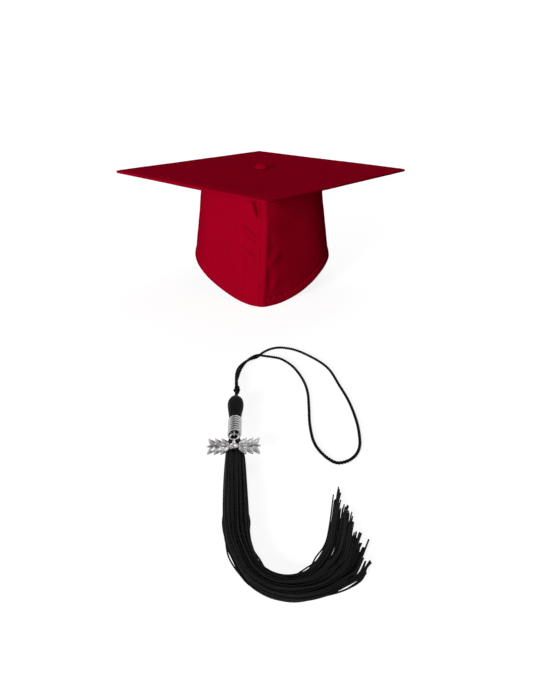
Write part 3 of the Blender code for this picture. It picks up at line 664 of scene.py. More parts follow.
def round_sheet(name, finish, section):
    """A cloth ring that runs right round the wall."""
    shares = [i / ROUND_STEPS for i in range(ROUND_STEPS)]
    return wall_sheet(name, finish, section, lambda z: 0.0, lambda z: 2 * math.pi, shares, ring=True)


hem_section = strip_section(HEM_INSET, HEM_INSET + HEM_WIDTH, LINING_DEPTH, HEM_THICKNESS, 8)
hem = round_sheet("turned_hem", red_cloth, hem_section)
fit(hem, "cap", "red_cloth", "rim_hem")


def start_tree(name, sockets):
    """A node tree for a piece, with its named inputs."""
    tree = bpy.data.node_groups.new(name, "GeometryNodeTree")
    tree.is_modifier = True
    tree.interface.new_socket("Geometry", in_out="OUTPUT", socket_type="NodeSocketGeometry")
    tree.interface.new_socket("Geometry", in_out="INPUT", socket_type="NodeSocketGeometry")
    for socket, kind in sockets.items():
        tree.interface.new_socket(socket, in_out="INPUT", socket_type="NodeSocket" + kind)
    return tree, tree.nodes.new("NodeGroupInput").outputs


def end_tree(tree, shape, finish):
    """Close a tree: smooth, realize, give it its finish and put it out."""
    smooth = add_node(tree, "GeometryNodeSetShadeSmooth", {"Geometry": shape})
    real = add_node(tree, "GeometryNodeRealizeInstances", {"Geometry": smooth.outputs[0]})
    dressed = add_node(tree, "GeometryNodeSetMaterial", {"Geometry": real.outputs[0], "Material": finish})
    add_node(tree, "NodeGroupOutput", {0: dressed.outputs[0]})
    return tree


def lines_mesh(name, lines, **values):
    """Lines of points as a bare mesh, with a value for each point under each name."""
    points, edges = [], []
    for line in lines:
        edges += [(len(points) + i, len(points) + i + 1) for i in range(len(line) - 1)]
        points += line
    mesh = bpy.data.meshes.new(name)
    mesh.from_pydata(points, edges, [])
    for key, numbers in values.items():
        mesh.attributes.new(key, "FLOAT", "POINT").data.foreach_set("value", numbers)
    return mesh


def grow(name, mesh, tree, values):
    """Run a tree on a mesh and keep the result as a plain mesh."""
    piece = add_object(name, mesh)
    modifier = piece.modifiers.new(tree.name, "NODES")
    modifier.node_group = tree
    for item in tree.interface.items_tree:
        if item.in_out == "INPUT" and item.name in values:
            modifier[item.identifier] = values[item.name]
    graph = bpy.context.evaluated_depsgraph_get()
    made = bpy.data.meshes.new_from_object(piece.evaluated_get(graph), preserve_all_data_layers=True,
                                           depsgraph=graph)
    piece.modifiers.clear()
    piece.data = made
    made.name = name
    return piece


def make_stitching():
    """A row of stitches: short threads, sunk at their ends, spaced along each line."""
    tree, given = start_tree("stitch_row", {"Stitch length": "Float", "Stitch gap": "Float",
                                            "Thread diameter": "Float", "Finish": "Material"})
    row = add_node(tree, "GeometryNodeMeshToCurve", {"Mesh": given["Geometry"]})
    pitch = reckon(tree, "ADD", given["Stitch length"], given["Stitch gap"])
    spots = add_node(tree, "GeometryNodeCurveToPoints", {"Curve": row.outputs[0], "Length": pitch},
                     mode="LENGTH")
    thread = add_node(tree, "GeometryNodeMeshUVSphere", {"Segments": 6, "Rings": 6, "Radius": 0.5})
    size = add_node(tree, "ShaderNodeCombineXYZ", {0: given["Thread diameter"], 1: given["Thread diameter"],
                                                   2: given["Stitch length"]})
    set_out = add_node(tree, "GeometryNodeInstanceOnPoints",
                       {"Points": spots.outputs["Points"], "Instance": thread.outputs["Mesh"],
                        "Rotation": spots.outputs["Rotation"], "Scale": size.outputs[0]})
    return end_tree(tree, set_out.outputs[0], given["Finish"])


red_thread, tree, shader = start_finish("red_thread", {"Specular IOR Level": 0.2})
strands = speckle(tree, object_place(tree), 2600, 2)
shade_surface(tree, shader, strands, ((0.26, 0.001, 0.010), (0.46, 0.004, 0.026)), strands, (0.45, 0.65))


def on_wall(turn, above, out, lift):
    """Point on the outside of the wall, a height above the rim."""
    z = rim_height(turn) + above
    return wall_point(turn, z, -out(turn, z) - lift)


back_edge = gusset_turn(0.0, 0.001)
hem_row = []
for i in range(641):
    turn = back_edge * (i / 320 - 1)
    z = rim_height(turn) + HEM_STITCH
    x = half_width(z) * math.sin(turn)
    spot = (x - lap_edge(z)) / LAP_WIDTH
    over = 0 < spot < LAP_REACH and math.cos(turn) > 0
    lifted = lap_lift(spot) + THREAD_LIFT if over else THREAD_LIFT
    hem_row.append(on_wall(turn, HEM_STITCH, swell, lifted))
casing_rows = []
for above in (*CASING_STITCHES, HEM_STITCH):
    turns = [back_edge + 0.03 + (2 * math.pi - 2 * back_edge - 0.06) * i / 260 for i in range(261)]
    casing_rows.append([on_wall(turn, above, gather, THREAD_LIFT) for turn in turns])
lap_row = []
for i in range(110):
    z = 0.012 + (CAP_HEIGHT - 0.016) * i / 109
    turn = math.asin((lap_edge(z) + LAP_WIDTH * STITCH_SPOT) / half_width(z))
    lap_row.append(wall_point(turn, z, -swell(turn, z) - lap_lift(STITCH_SPOT) - THREAD_LIFT))
stitching = make_stitching()
stitches = grow("topstitching", lines_mesh("stitch_lines", [hem_row, *casing_rows, lap_row]), stitching,
                {"Stitch length": STITCH_LENGTH, "Stitch gap": STITCH_GAP, "Thread diameter": THREAD,
                 "Finish": red_thread})
fit(stitches, "cap", "red_cloth")


# Lining and crown disc: thin black cloth that backs the wall from the hem to the crown, and a round of
# the same cloth that closes the crown under the board, held at its middle by the washer.
LINING_THICKNESS = 0.0006
INNER_DEPTH = LINING_DEPTH + LINING_THICKNESS + GAP
LINING_ROWS = 30
DISC_STEPS = 120
DISC_SPOTS = (0.03, 0.2, 0.4, 0.6, 0.8, 0.92, 1)
black_lining = weave_finish("black_lining_cloth", {"Specular IOR Level": 0.2}, 3400, (0.010, 0.010, 0.011),
                            (0.024, 0.024, 0.026), 0.00008, (0.6, 0.8))
disc_low, disc_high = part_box("crown_disc")


def lining_section(turn):
    """Section of the lining, from the hem up to the crown."""
    low = rim_height(turn) + HEM_INSET + HEM_WIDTH + GAP
    heights = [low + (disc_high.z - low) * i / LINING_ROWS for i in range(LINING_ROWS + 1)]
    back = [(z, LINING_DEPTH + LINING_THICKNESS) for z in reversed(heights)]
    return [(z, LINING_DEPTH) for z in heights] + back


lining = round_sheet("inner_lining", black_lining, lining_section)
fit(lining, "cap", "black_lining", "skull_lining")
disc_loops = []
for z, spots in ((disc_high.z, DISC_SPOTS), (disc_low.z, DISC_SPOTS[::-1])):
    for spot in spots:
        loop = []
        for turn in around(DISC_STEPS):
            edge = wall_point(turn, z, INNER_DEPTH + max(-inside_swell(turn, z), 0))
            uneven = noise.noise(Vector((edge.x * spot * 30, edge.y * spot * 30, 2)))
            sag = 0.0008 * uneven * ease((spot - 0.15) / 0.2)
            loop.append(Vector((edge.x * spot, edge.y * spot, z + sag * (spot < 0.95))))
        disc_loops.append(loop)
crown = loft("crown_cloth", black_lining, disc_loops, ring=True, flat=lambda p: (p.x, p.y))
fit(crown, "cap", "black_lining", "crown_disc")


# Sweatband and elastic: a smooth black band sewn inside the rim along the panels, and a ribbed elastic
# in the gusset's casing that draws the cap in round the head.
STRIP_THICKNESS = 0.0008
SWEATBAND_STEPS = 200
ELASTIC_STEPS = 420
band_cloth = weave_finish("band_sateen", {"Specular IOR Level": 0.35}, 4200, (0.016, 0.016, 0.017),
                          (0.034, 0.034, 0.036), 0.00005, (0.38, 0.52))
sweatband_section = strip_section(0.0012, 0.0292, INNER_DEPTH, STRIP_THICKNESS, 16)
sweatband = wall_sheet("sweatband_cloth", band_cloth, sweatband_section, lambda z: -panel_end(z), panel_end,
                       [i / SWEATBAND_STEPS for i in range(SWEATBAND_STEPS + 1)])
fit(sweatband, "cap", "band_cloth", "sweatband")
elastic_finish = weave_finish("ribbed_elastic", {"Specular IOR Level": 0.2}, 1500, (0.010, 0.010, 0.010),
                              (0.030, 0.030, 0.030), 0.0002, (0.7, 0.9))


def elastic_ribs(turn, z):
    """Ribs across the elastic, with its edges turned a little."""
    return 0.00018 * math.sin(turn * 330) + 0.4 * soft_wave(turn, z)


elastic_section = strip_section(0.0020, 0.0200, INNER_DEPTH, STRIP_THICKNESS, 6)
elastic = wall_sheet("casing_elastic", elastic_finish, elastic_section, gusset_start, gusset_end,
                     [i / ELASTIC_STEPS for i in range(ELASTIC_STEPS + 1)], out=elastic_ribs)
fit(elastic, "cap", "black_elastic", "elastic_band")


# Tassel cord: one length of black three-ply rayon cord. Both ends come out of the knot, turn half
# round each other, and open into a long loop that lies on the surface.
TASSEL_X = -0.0276
TASSEL_Y = -0.288
CORD_DIAMETER = 0.0025
CORD_PLIES = 3
CORD_PLY = 0.00145
PLY_OFFSET = 0.00053
CORD_LAY = 0.0064
CORD_TONE = 0.1
CORD_POINT_SPACING = 0.0072
LEG_GAP = -0.0003
LEG_TWISTS = 0.5
KNOT_DIAMETER = 0.0068
KNOT_LENGTH = 0.0140
HEAD_PEAK = 0.0088
HEAD_RADIUS = 0.0062
# Middle of the two legs from the knot to where they part, then the open loop, from the tassel's head
LEGS_ROUTE = [(-0.0003, HEAD_PEAK + KNOT_LENGTH + 2 * GAP), (-0.0003, 0.0327), (0.0008, 0.0457),
              (0.0034, 0.0562), (0.0087, 0.0664), (0.0148, 0.0726), (0.0176, 0.0742)]
LOOP_ROUTE = [(0.0222, 0.0815), (0.0304, 0.0896), (0.0422, 0.0920), (0.0585, 0.0830),
              (0.0782, 0.0561), (0.0853, 0.0229), (0.0890, -0.0010), (0.0900, -0.0248),
              (0.0888, -0.0426), (0.0862, -0.0559), (0.0805, -0.0656), (0.0719, -0.0711),
              (0.0660, -0.0695), (0.0598, -0.0613), (0.0555, -0.0483), (0.0549, -0.0279),
              (0.0566, -0.0055), (0.0577, 0.0149), (0.0557, 0.0344), (0.0490, 0.0565),
              (0.0384, 0.0713), (0.0282, 0.0750)]
tassel_place = Vector((TASSEL_X, TASSEL_Y, 0))


def smooth_line(points, step):
    """Points every step along a smooth curve through the given points."""
    points = [Vector(point) for point in points]
    padded = [2 * points[0] - points[1], *points, 2 * points[-1] - points[-2]]
    dense = []
    for a, b, c, d in zip(padded, padded[1:], padded[2:], padded[3:]):
        for i in range(16):
            t = i / 16
            dense.append(0.5 * (2 * b + (c - a) * t + (2 * a - 5 * b + 4 * c - d) * t * t
                                + (3 * b - a - 3 * c + d) * t ** 3))
    dense.append(points[-1])
    length = sum((q - p).length for p, q in zip(dense, dense[1:]))
    count = max(2, round(length / step))
    spaced, travelled, target = [dense[0]], 0.0, length / count
    for p, q in zip(dense, dense[1:]):
        span = (q - p).length
        while travelled + span >= target and len(spaced) < count:
            spaced.append(p.lerp(q, (target - travelled) / span))
            target += length / count
        travelled += span
    return [*spaced, dense[-1]]


def cord_route():
    """Out of the knot along one leg, round the loop, and back along the other."""
    apart = (CORD_DIAMETER + LEG_GAP) / 2
    knot_height = KNOT_DIAMETER / 2
    legs_height = CORD_DIAMETER / 2 + apart
    middles = smooth_line([(x, y, 0) for x, y in LEGS_ROUTE], CORD_POINT_SPACING)
    legs = {1: [], -1: []}
    for i, middle in enumerate(middles):
        share = max(i - 1, 0) / (len(middles) - 2)
        ahead = middles[min(i + 1, len(middles) - 1)] - middles[max(i - 1, 0)]
        left = Vector((-ahead.y, ahead.x, 0)).normalized()
        angle = math.pi / 2 - 2 * math.pi * LEG_TWISTS * share
        lift = knot_height + (legs_height - knot_height) * min(share * 4, 1)
        for side, leg in legs.items():
            leg.append(middle + side * apart * (left * math.cos(angle) + Vector((0, 0, math.sin(angle))))
                       + Vector((0, 0, lift)))
    loop = [Vector((x, y, CORD_DIAMETER / 2)) for x, y in LOOP_ROUTE]
    around = smooth_line(legs[1][-2:] + loop + legs[-1][:-3:-1], CORD_POINT_SPACING)
    return legs[1][:-2] + around + legs[-1][-3::-1]


def make_yarn_sweep():
    """Yarn along each line: plies laid round each other, with the way round and along kept."""
    tree, given = start_tree("yarn_sweep", {"Ply diameter": "Float", "Plies": "Int", "Ply offset": "Float",
                                            "Lay length": "Float", "Sides": "Int", "Finish": "Material"})
    line = add_node(tree, "GeometryNodeMeshToCurve", {"Mesh": given["Geometry"]})
    way = add_node(tree, "GeometryNodeSplineParameter").outputs
    kept = tree.nodes.new("GeometryNodeCaptureAttribute")
    kept.capture_items.new("FLOAT", "along")
    tree.links.new(line.outputs[0], kept.inputs[0])
    tree.links.new(way["Length"], kept.inputs[1])
    turn = reckon(tree, "MULTIPLY", reckon(tree, "DIVIDE", way["Length"], given["Lay length"]), math.tau)
    twisted = add_node(tree, "GeometryNodeSetCurveTilt", {"Curve": kept.outputs[0], "Tilt": turn})
    radius = reckon(tree, "DIVIDE", given["Ply diameter"], 2.0)
    section = add_node(tree, "GeometryNodeCurvePrimitiveCircle",
                       {"Resolution": given["Sides"], "Radius": radius})
    round_kept = tree.nodes.new("GeometryNodeCaptureAttribute")
    round_kept.capture_items.new("FLOAT", "round")
    tree.links.new(section.outputs[0], round_kept.inputs[0])
    tree.links.new(way["Factor"], round_kept.inputs[1])
    number = add_node(tree, "GeometryNodeInputIndex").outputs[0]
    bearing = reckon(tree, "MULTIPLY", reckon(tree, "DIVIDE", number, given["Plies"]), math.tau)
    spot = add_node(tree, "ShaderNodeCombineXYZ",
                    {0: reckon(tree, "MULTIPLY", reckon(tree, "COSINE", bearing), given["Ply offset"]),
                     1: reckon(tree, "MULTIPLY", reckon(tree, "SINE", bearing), given["Ply offset"])})
    spots = add_node(tree, "GeometryNodePoints", {"Count": given["Plies"], "Position": spot.outputs[0]})
    plies = add_node(tree, "GeometryNodeInstanceOnPoints",
                     {"Points": spots.outputs[0], "Instance": round_kept.outputs[0]})
    profile = add_node(tree, "GeometryNodeRealizeInstances", {"Geometry": plies.outputs[0]})
    thick = add_node(tree, "GeometryNodeInputNamedAttribute", {"Name": "thickness"}, data_type="FLOAT")
    swept = add_node(tree, "GeometryNodeCurveToMesh",
                     {"Curve": twisted.outputs[0], "Profile Curve": profile.outputs[0],
                      "Scale": thick.outputs[0], "Fill Caps": True})
    full = reckon(tree, "MULTIPLY", round_kept.outputs[1], math.tau)
    yarn = add_node(tree, "ShaderNodeCombineXYZ", {0: reckon(tree, "COSINE", full),
                                                   1: reckon(tree, "SINE", full), 2: kept.outputs[1]})
    stored = add_node(tree, "GeometryNodeStoreNamedAttribute", {"Geometry": swept.outputs[0], "Name": "yarn"},
                      data_type="FLOAT_VECTOR", domain="POINT")
    tree.links.new(yarn.outputs[0], stored.inputs["Value"])
    return end_tree(tree, stored.outputs[0], given["Finish"])


def yarn_finish(name, low, high, lay, roughness):
    """Rayon yarn: twisted filaments that show as fine slanting ridges, with a painted highlight that makes
    the ridge tops lighter in colour.
    """
    finish, tree, shader = start_finish(name, {"Specular IOR Level": 0.06})
    yarn = add_node(tree, "ShaderNodeAttribute", attribute_name="yarn").outputs["Vector"]
    tone = add_node(tree, "ShaderNodeAttribute", attribute_name="tone").outputs["Fac"]
    x, y, along = add_node(tree, "ShaderNodeSeparateXYZ", {0: yarn}).outputs
    bearing = reckon(tree, "ARCTAN2", y, x)
    laid = reckon(tree, "MULTIPLY", along, math.tau / lay)
    ridges = reckon(tree, "SINE", reckon(tree, "ADD", reckon(tree, "MULTIPLY", bearing, 2.0), laid))
    fine = reckon(tree, "SINE", reckon(tree, "ADD", reckon(tree, "MULTIPLY", bearing, 7.0), laid))
    fine = reckon(tree, "MULTIPLY", fine, 0.12)
    height = reckon(tree, "ADD", reckon(tree, "MULTIPLY", ridges, 0.36), fine)
    height = reckon(tree, "ADD", height, 0.5)
    # Painted highlight: the colour is lighter on the tops of the twist ridges, on top of each strand's own
    # tone.
    shade = reckon(tree, "ADD", reckon(tree, "MULTIPLY", height, 0.3), reckon(tree, "MULTIPLY", tone, 0.7))
    shade_surface(tree, shader, shade, (low, high), height, roughness)
    raise_surface(tree, shader, height, 0.00008, 0.6)
    return finish


black_yarn = yarn_finish("black_rayon_yarn", (0.0016, 0.0016, 0.0017), (0.0180, 0.0180, 0.0186), 0.0034,
                         (0.52, 0.40))
yarn_sweep = make_yarn_sweep()


def spin(name, lines, ply, sides, finish, plies=1, offset=0.0, lay=1.0, **values):
    """Yarn or wire along lines, with the values that its points carry."""
    mesh = lines_mesh(name + "_lines", lines, **values)
    return grow(name, mesh, yarn_sweep, {"Ply diameter": ply, "Plies": plies, "Ply offset": offset,
                                         "Lay length": lay, "Sides": sides, "Finish": finish})


cord_line = smooth_line([tassel_place + point for point in cord_route()], 0.0011)
cord = spin("tassel_loop_cord", [cord_line], CORD_PLY, 8, black_yarn, CORD_PLIES, PLY_OFFSET, CORD_LAY,
            thickness=[1.0] * len(cord_line), tone=[CORD_TONE] * len(cord_line))
fit(cord, "tassel", "black_yarn", "tassel_cord")


# Knot: the two legs of the cord tied together in one overhand knot and drawn tight against the head, so
# that its turns show as slanting lumps round the legs.
KNOT_TURNS = 2.6
KNOT_STEPS = 120
KNOT_PLY = 0.00154
KNOT_PLY_OFFSET = 0.00060
knot_foot = tassel_place + Vector((0.0002, HEAD_PEAK + 0.0022, KNOT_DIAMETER / 2))
knot_line = []
for i in range(KNOT_STEPS + 1):
    share = i / KNOT_STEPS
    turn = 2 * math.pi * KNOT_TURNS * share - 0.6
    wide = 0.0009 + 0.0008 * math.sin(math.pi * share)
    bump = 0.0012 * math.exp(-((share - 0.24) / 0.10) ** 2)
    along = 0.0100 * share + 0.0012 * math.cos(turn)
    spot = Vector((wide * math.cos(turn) + bump, along, 0.8 * wide * math.sin(turn)))
    knot_line.append(knot_foot + spot)
core_ends = ((0, HEAD_PEAK - 0.0010), (0.0003, HEAD_PEAK + 0.0060),
             (0.0002, HEAD_PEAK + KNOT_LENGTH), LEGS_ROUTE[1])
knot_core = [tassel_place + Vector((*point, KNOT_DIAMETER / 2)) for point in core_ends]
knot_lines = [smooth_line(line, 0.0006) for line in (knot_line, knot_core)]
knot_thick = [0.92] * len(knot_lines[0]) + [1.05] * len(knot_lines[1])
knot = spin("tassel_knot", knot_lines, KNOT_PLY, 8, black_yarn, CORD_PLIES, KNOT_PLY_OFFSET, CORD_LAY,
            thickness=knot_thick, tone=[CORD_TONE] * len(knot_thick))
fit(knot, "tassel", "black_yarn", "cord_knot")


# Tassel head: the hank of yarn folded over the knot and drawn down into the band, so its strands run
# lengthwise over a full round bulb, lying close and a little slanted.
HEAD_LENGTH = 0.0353
HEAD_WIDEST = 0.47
HEAD_TOP = 0.0015
HEAD_BASE = 0.0046
HEAD_STRANDS = 46
UNDER_STRANDS = 30
UNDER_DEPTH = 0.0009
HEAD_STEPS = 30
STRAND = 0.00105
draw = random.Random(11)


def head_rise(share):
    """How far the head has risen from the knot's height to its own full height."""
    return math.sin(math.pi / 2 * min(share / HEAD_WIDEST, 1))


def head_radius(share):
    """Radius of the head from the knot to the band."""
    if share < HEAD_WIDEST:
        return HEAD_TOP + (HEAD_RADIUS - HEAD_TOP) * head_rise(share) ** 2
    past = (share - HEAD_WIDEST) / (1 - HEAD_WIDEST)
    return HEAD_BASE + (HEAD_RADIUS - HEAD_BASE) * math.cos(math.pi / 2 * past) ** 2


head_lines, head_thick, head_tone = [], [], []
for layer, count in ((0.0, HEAD_STRANDS), (UNDER_DEPTH, UNDER_STRANDS)):
    for number in range(count):
        bearing = 2 * math.pi * (number + 0.3 * draw.random()) / count
        slant = 0.30 + 0.16 * draw.gauss(0, 1)
        bow = 0.05 * draw.gauss(0, 1)
        tone = draw.random()
        line = []
        for i in range(HEAD_STEPS + 1):
            share = i / HEAD_STEPS
            thick = STRAND * (0.45 + 0.55 * head_radius(share) / HEAD_RADIUS)
            turn = bearing + slant * (share - 0.5) + bow * math.sin(math.pi * share * 2)
            out = max(head_radius(share) - thick / 2 - layer - 0.0002 * draw.random(), 0.0008)
            middle = KNOT_DIAMETER / 2 + (HEAD_RADIUS - KNOT_DIAMETER / 2) * head_rise(share)
            line.append(tassel_place + Vector((out * math.cos(turn), HEAD_PEAK - HEAD_LENGTH * share,
                                               middle + out * math.sin(turn))))
            head_thick.append(thick / STRAND)
            head_tone.append(0.15 * tone)
        head_lines.append(line)
head = spin("tassel_head_yarn", head_lines, STRAND, 7, black_yarn, thickness=head_thick, tone=head_tone)
fit(head, "tassel", "black_yarn", "tassel_head")


# Wire band and eye: bright silver-coloured wire, wound in seven close turns round the neck of the
# tassel, and a small eye of thin wire with its leg caught under the turns.
BAND_START = HEAD_LENGTH - HEAD_PEAK + GAP
BAND_RADIUS = 0.0050
BAND_WIRE = 0.0015
BAND_TURNS = 7
BAND_STEPS = 56
WIRE_SIDES = 14
BAND_LENGTH = 0.01995
BAND_PITCH = (BAND_LENGTH - BAND_WIRE) / BAND_TURNS
BAND_END = BAND_START + BAND_LENGTH
EYE_WIRE = 0.0007
EYE_RADIUS = 0.00155
EYE_ALONG = BAND_END + 0.0026
EYE_HEIGHT = 0.0100
EYE_LEG = 0.010


def silver_finish(name, colour, scale, roughness, depth):
    """Bright plated metal with fine drawing marks and a little clouding."""
    finish, tree, shader = start_finish(name, {"Metallic": 1.0})
    place = object_place(tree)
    marks = speckle(tree, place, scale, 5)
    cloud = speckle(tree, place, scale / 12, 2)
    dull = [0.82 * channel for channel in colour]
    shade_surface(tree, shader, cloud, (dull, colour), marks, roughness)
    raise_surface(tree, shader, marks, depth, 0.5)
    return finish


silver_wire = silver_finish("silver_wire_plate", (0.58, 0.58, 0.59), 2400, (0.12, 0.30), 0.00003)
band_loops = []
for i in range(BAND_TURNS * BAND_STEPS + 1):
    turn = 2 * math.pi * i / BAND_STEPS - math.pi / 2
    along = BAND_START + BAND_WIRE / 2 + BAND_PITCH * i / BAND_STEPS
    taper = min(1.0, 0.55 + 0.45 * min(i, BAND_TURNS * BAND_STEPS - i) / 6)
    loop = []
    for angle in around(WIRE_SIDES):
        wide = BAND_WIRE / 2 * taper * math.sin(angle)
        out = BAND_RADIUS - BAND_WIRE / 2 + BAND_WIRE / 2 * taper * math.cos(angle)
        loop.append(tassel_place + Vector((out * math.cos(turn), -along + wide,
                                           HEAD_RADIUS + out * math.sin(turn))))
    band_loops.append(loop)
band = loft("wire_winding", silver_wire, band_loops)
fit(band, "tassel", "silver_wire", "wire_band")
eye_line = [(0, -(BAND_END - EYE_LEG), EYE_HEIGHT - EYE_RADIUS), (0, -BAND_END, EYE_HEIGHT - EYE_RADIUS)]
for i in range(20):
    turn = math.radians(285) * i / 19
    eye_line.append((0, -EYE_ALONG - EYE_RADIUS * math.sin(turn), EYE_HEIGHT - EYE_RADIUS * math.cos(turn)))
eye_points = smooth_line([tassel_place + Vector(point) for point in eye_line], 0.0002)
eye = spin("wire_eye", [eye_points], EYE_WIRE, 10, silver_wire, thickness=[1.0] * len(eye_points))
fit(eye, "tassel", "silver_wire", "band_eye")


# Skirt: some hundred and seventy strands of black rayon yarn that come out from under the band. They
# lie in a bend on the surface and fan out to ragged, freshly cut tips.
SKIRT_STRANDS = 172
NECK = [(0.0276, 0.0024, 0.0062, 0.0024), (0.0464, 0.0026, 0.0060, 0.0025), (0.0480, 0.0044, 0.0041, 0.0033),
        (0.0520, 0.0050, 0.0041, 0.0037), (0.0570, 0.0053, 0.0043, 0.0042)]
# Outer edge, inner edge and height of the bundle, from the band to the tips
SKIRT_RIBS = [(-0.0058, -0.0659, 0.0075, -0.0664, 0.0090), (-0.0060, -0.0904, 0.0092, -0.0909, 0.0090),
              (-0.0053, -0.1174, 0.0101, -0.1172, 0.0090), (-0.0032, -0.1360, 0.0106, -0.1300, 0.0089),
              (0.0007, -0.1471, 0.0122, -0.1408, 0.0088), (0.0070, -0.1600, 0.0148, -0.1490, 0.0086),
              (0.0151, -0.1675, 0.0192, -0.1546, 0.0086), (0.0238, -0.1716, 0.0252, -0.1579, 0.0086),
              (0.0344, -0.1730, 0.0317, -0.1583, 0.0084), (0.0473, -0.1704, 0.0397, -0.1550, 0.0078),
              (0.0571, -0.1656, 0.0457, -0.1480, 0.0068), (0.0661, -0.1590, 0.0527, -0.1340, 0.0056),
              (0.0717, -0.1510, 0.0617, -0.0990, 0.0042)]
# Strands that have come away from the bundle: which side, and the stations between which they stand off
STRAYS = [(-1, 9, 9), (1, 10, 10), (1, 14, 14), (1, 15, 15), (1, 16, 16), (-1, 15, 15), (-1, 15, 16)]
STAND_OFF = 0.0014
TIP_CLUMPS = 15
TIP_REACH = 0.012
SKIRT_STEP = 0.0020
draw = random.Random(29)
stations = []
for along, half, middle, tall in NECK:
    stations.append((Vector((0, -along, 0)), Vector((half, 0, 0)), middle, tall))
for outer_x, outer_y, inner_x, inner_y, tall in SKIRT_RIBS:
    outer, inner = Vector((outer_x, outer_y, 0)), Vector((inner_x, inner_y, 0))
    stations.append(((outer + inner) / 2, (inner - outer) / 2, tall / 2, tall / 2))
last = len(stations) - 1
clumps = [(draw.gauss(0, 0.0016), draw.uniform(-0.0060, 0.0060)) for i in range(TIP_CLUMPS + 1)]
skirt_lines, skirt_thick, skirt_tone = [], [], []
for number in range(SKIRT_STRANDS):
    reach = math.sqrt((number + 0.5) / SKIRT_STRANDS)
    bearing = number * math.pi * (3 - math.sqrt(5))
    across, up = reach * math.cos(bearing), reach * math.sin(bearing)
    thick = STRAND * draw.uniform(0.78, 1.0)
    tone = draw.random()
    stray = STRAYS[number] if number < len(STRAYS) else None
    lean = draw.gauss(0, 0.0013)
    clump = clumps[0]
    points = []
    for place_number, (middle, half, centre, tall) in enumerate(stations):
        loose = min(place_number / 8, 1.0)
        across = across + draw.gauss(0, 0.045) * loose
        up = up + draw.gauss(0, 0.05) * loose
        size = math.hypot(across, up)
        if size > 1.0:
            across, up = across / size, up / size
        if stray and place_number > 6:
            off = stray[1] <= place_number <= stray[2]
            across, up = stray[0] * (1 + STAND_OFF / half.length if off else 0.97), 0.0
        side = max(half.length - thick / 4, 0.0005) / half.length
        spread_out = half.normalized() * (clump[0] + lean) * max(place_number - last + 2, 0) / 2
        points.append(tassel_place + middle + half * side * across + spread_out
                      + Vector((0, 0, max(centre + (tall - thick / 2) * up, thick / 2))))
        if place_number == last - 2:
            clump = clumps[int((min(max(across, -1), 1) + 1) / 2 * TIP_CLUMPS)]
    ahead = (points[-1] - points[-2]).normalized()
    long = draw.random() < 0.2
    end = draw.uniform(0.004, 0.011) if long else 0.6 * clump[1] + draw.uniform(-0.0065, 0.0015)
    points.append(points[-1] + ahead * TIP_REACH + spread_out * 0.7 + Vector((0, 0, -0.0003)))
    line = smooth_line(points, SKIRT_STEP)
    spare = max(int((TIP_REACH - end) / SKIRT_STEP), 0)
    line = line[:len(line) - spare]
    skirt_lines.append(line)
    for i in range(len(line)):
        skirt_thick.append(thick / STRAND * (0.6 + 0.4 * ease((i - 9) / 8)))
        skirt_tone.append(tone)
skirt = spin("tassel_skirt_yarn", skirt_lines, STRAND, 6, black_yarn, thickness=skirt_thick, tone=skirt_tone)
fit(skirt, "tassel", "black_yarn", "tassel_skirt")


# Charm: a small laurel sprig cast in one piece with its ring, plated bright silver. Its leaves are cut
# to two facets along the midrib, and the ring turns freely in the wire eye.
CHARM_RING_RADIUS = 0.0029
CHARM_RING_WIRE = 0.0011
CHARM_BOSS = 0.0024
CHARM_STEM = 0.0009
CHARM_NECK = 0.0070
CHARM_THICKNESS = 0.0012
LEAF_LENGTH = 0.0092
LEAF_WIDTH = 0.0038
LEAF_ANGLE = math.radians(58)
LEAF_BASES = (0.0042, 0.0086, 0.0130)
STEM_END = 0.0174
CAST_SIDES = 12
BOSS_SIDES = 40
RING_STEPS = 48
STEM_STEPS = 32
NECK_STEPS = 8
silver_cast = silver_finish("silver_cast_plate", (0.57, 0.57, 0.58), 1600, (0.17, 0.30), 0.00003)
charm_place = tassel_place + Vector((0, -EYE_ALONG, EYE_HEIGHT))
sprig_place = charm_place + Vector((0, -2 * CHARM_RING_RADIUS - CHARM_NECK, 0))
half_thick = CHARM_THICKNESS / 2


def cast_shape(name, loops, ring=False):
    """One cast form through loops, kept to be joined with the rest of the charm."""
    return loft(name, silver_cast, loops, ring)


ring_loops = []
for turn in around(RING_STEPS):
    out = Vector((math.sin(turn), math.cos(turn), 0))
    loop = []
    for angle in around(CAST_SIDES):
        loop.append(charm_place + Vector((0, -CHARM_RING_RADIUS, CHARM_RING_WIRE / 2 * math.sin(angle)))
                    + out * (CHARM_RING_RADIUS + CHARM_RING_WIRE / 2 * math.cos(angle)))
    ring_loops.append(loop)
forms = [cast_shape("charm_ring", ring_loops, ring=True)]
stem_loops = []
for i in range(STEM_STEPS + 1):
    share = 2 * i / STEM_STEPS - 1
    thin = 0.35 + 0.65 * (1 - abs(share) ** 1.6)
    loop = []
    for angle in around(CAST_SIDES):
        loop.append(sprig_place + Vector((share * STEM_END, CHARM_STEM * thin * math.cos(angle),
                                          half_thick * 1.1 * thin * math.sin(angle))))
    stem_loops.append(loop)
forms.append(cast_shape("charm_stem", stem_loops))
neck_loops = []
for i in range(NECK_STEPS + 1):
    share = i / NECK_STEPS
    wide = 0.0019 - 0.0012 * ease(share)
    neck_loops.append([sprig_place + Vector((wide * math.cos(angle), CHARM_NECK * share,
                                             half_thick * 0.95 * math.sin(angle)))
                       for angle in around(CAST_SIDES)])
forms.append(cast_shape("charm_neck", neck_loops))
boss_loops = []
boss_radius = (CHARM_BOSS + CHARM_STEM) * 0.92
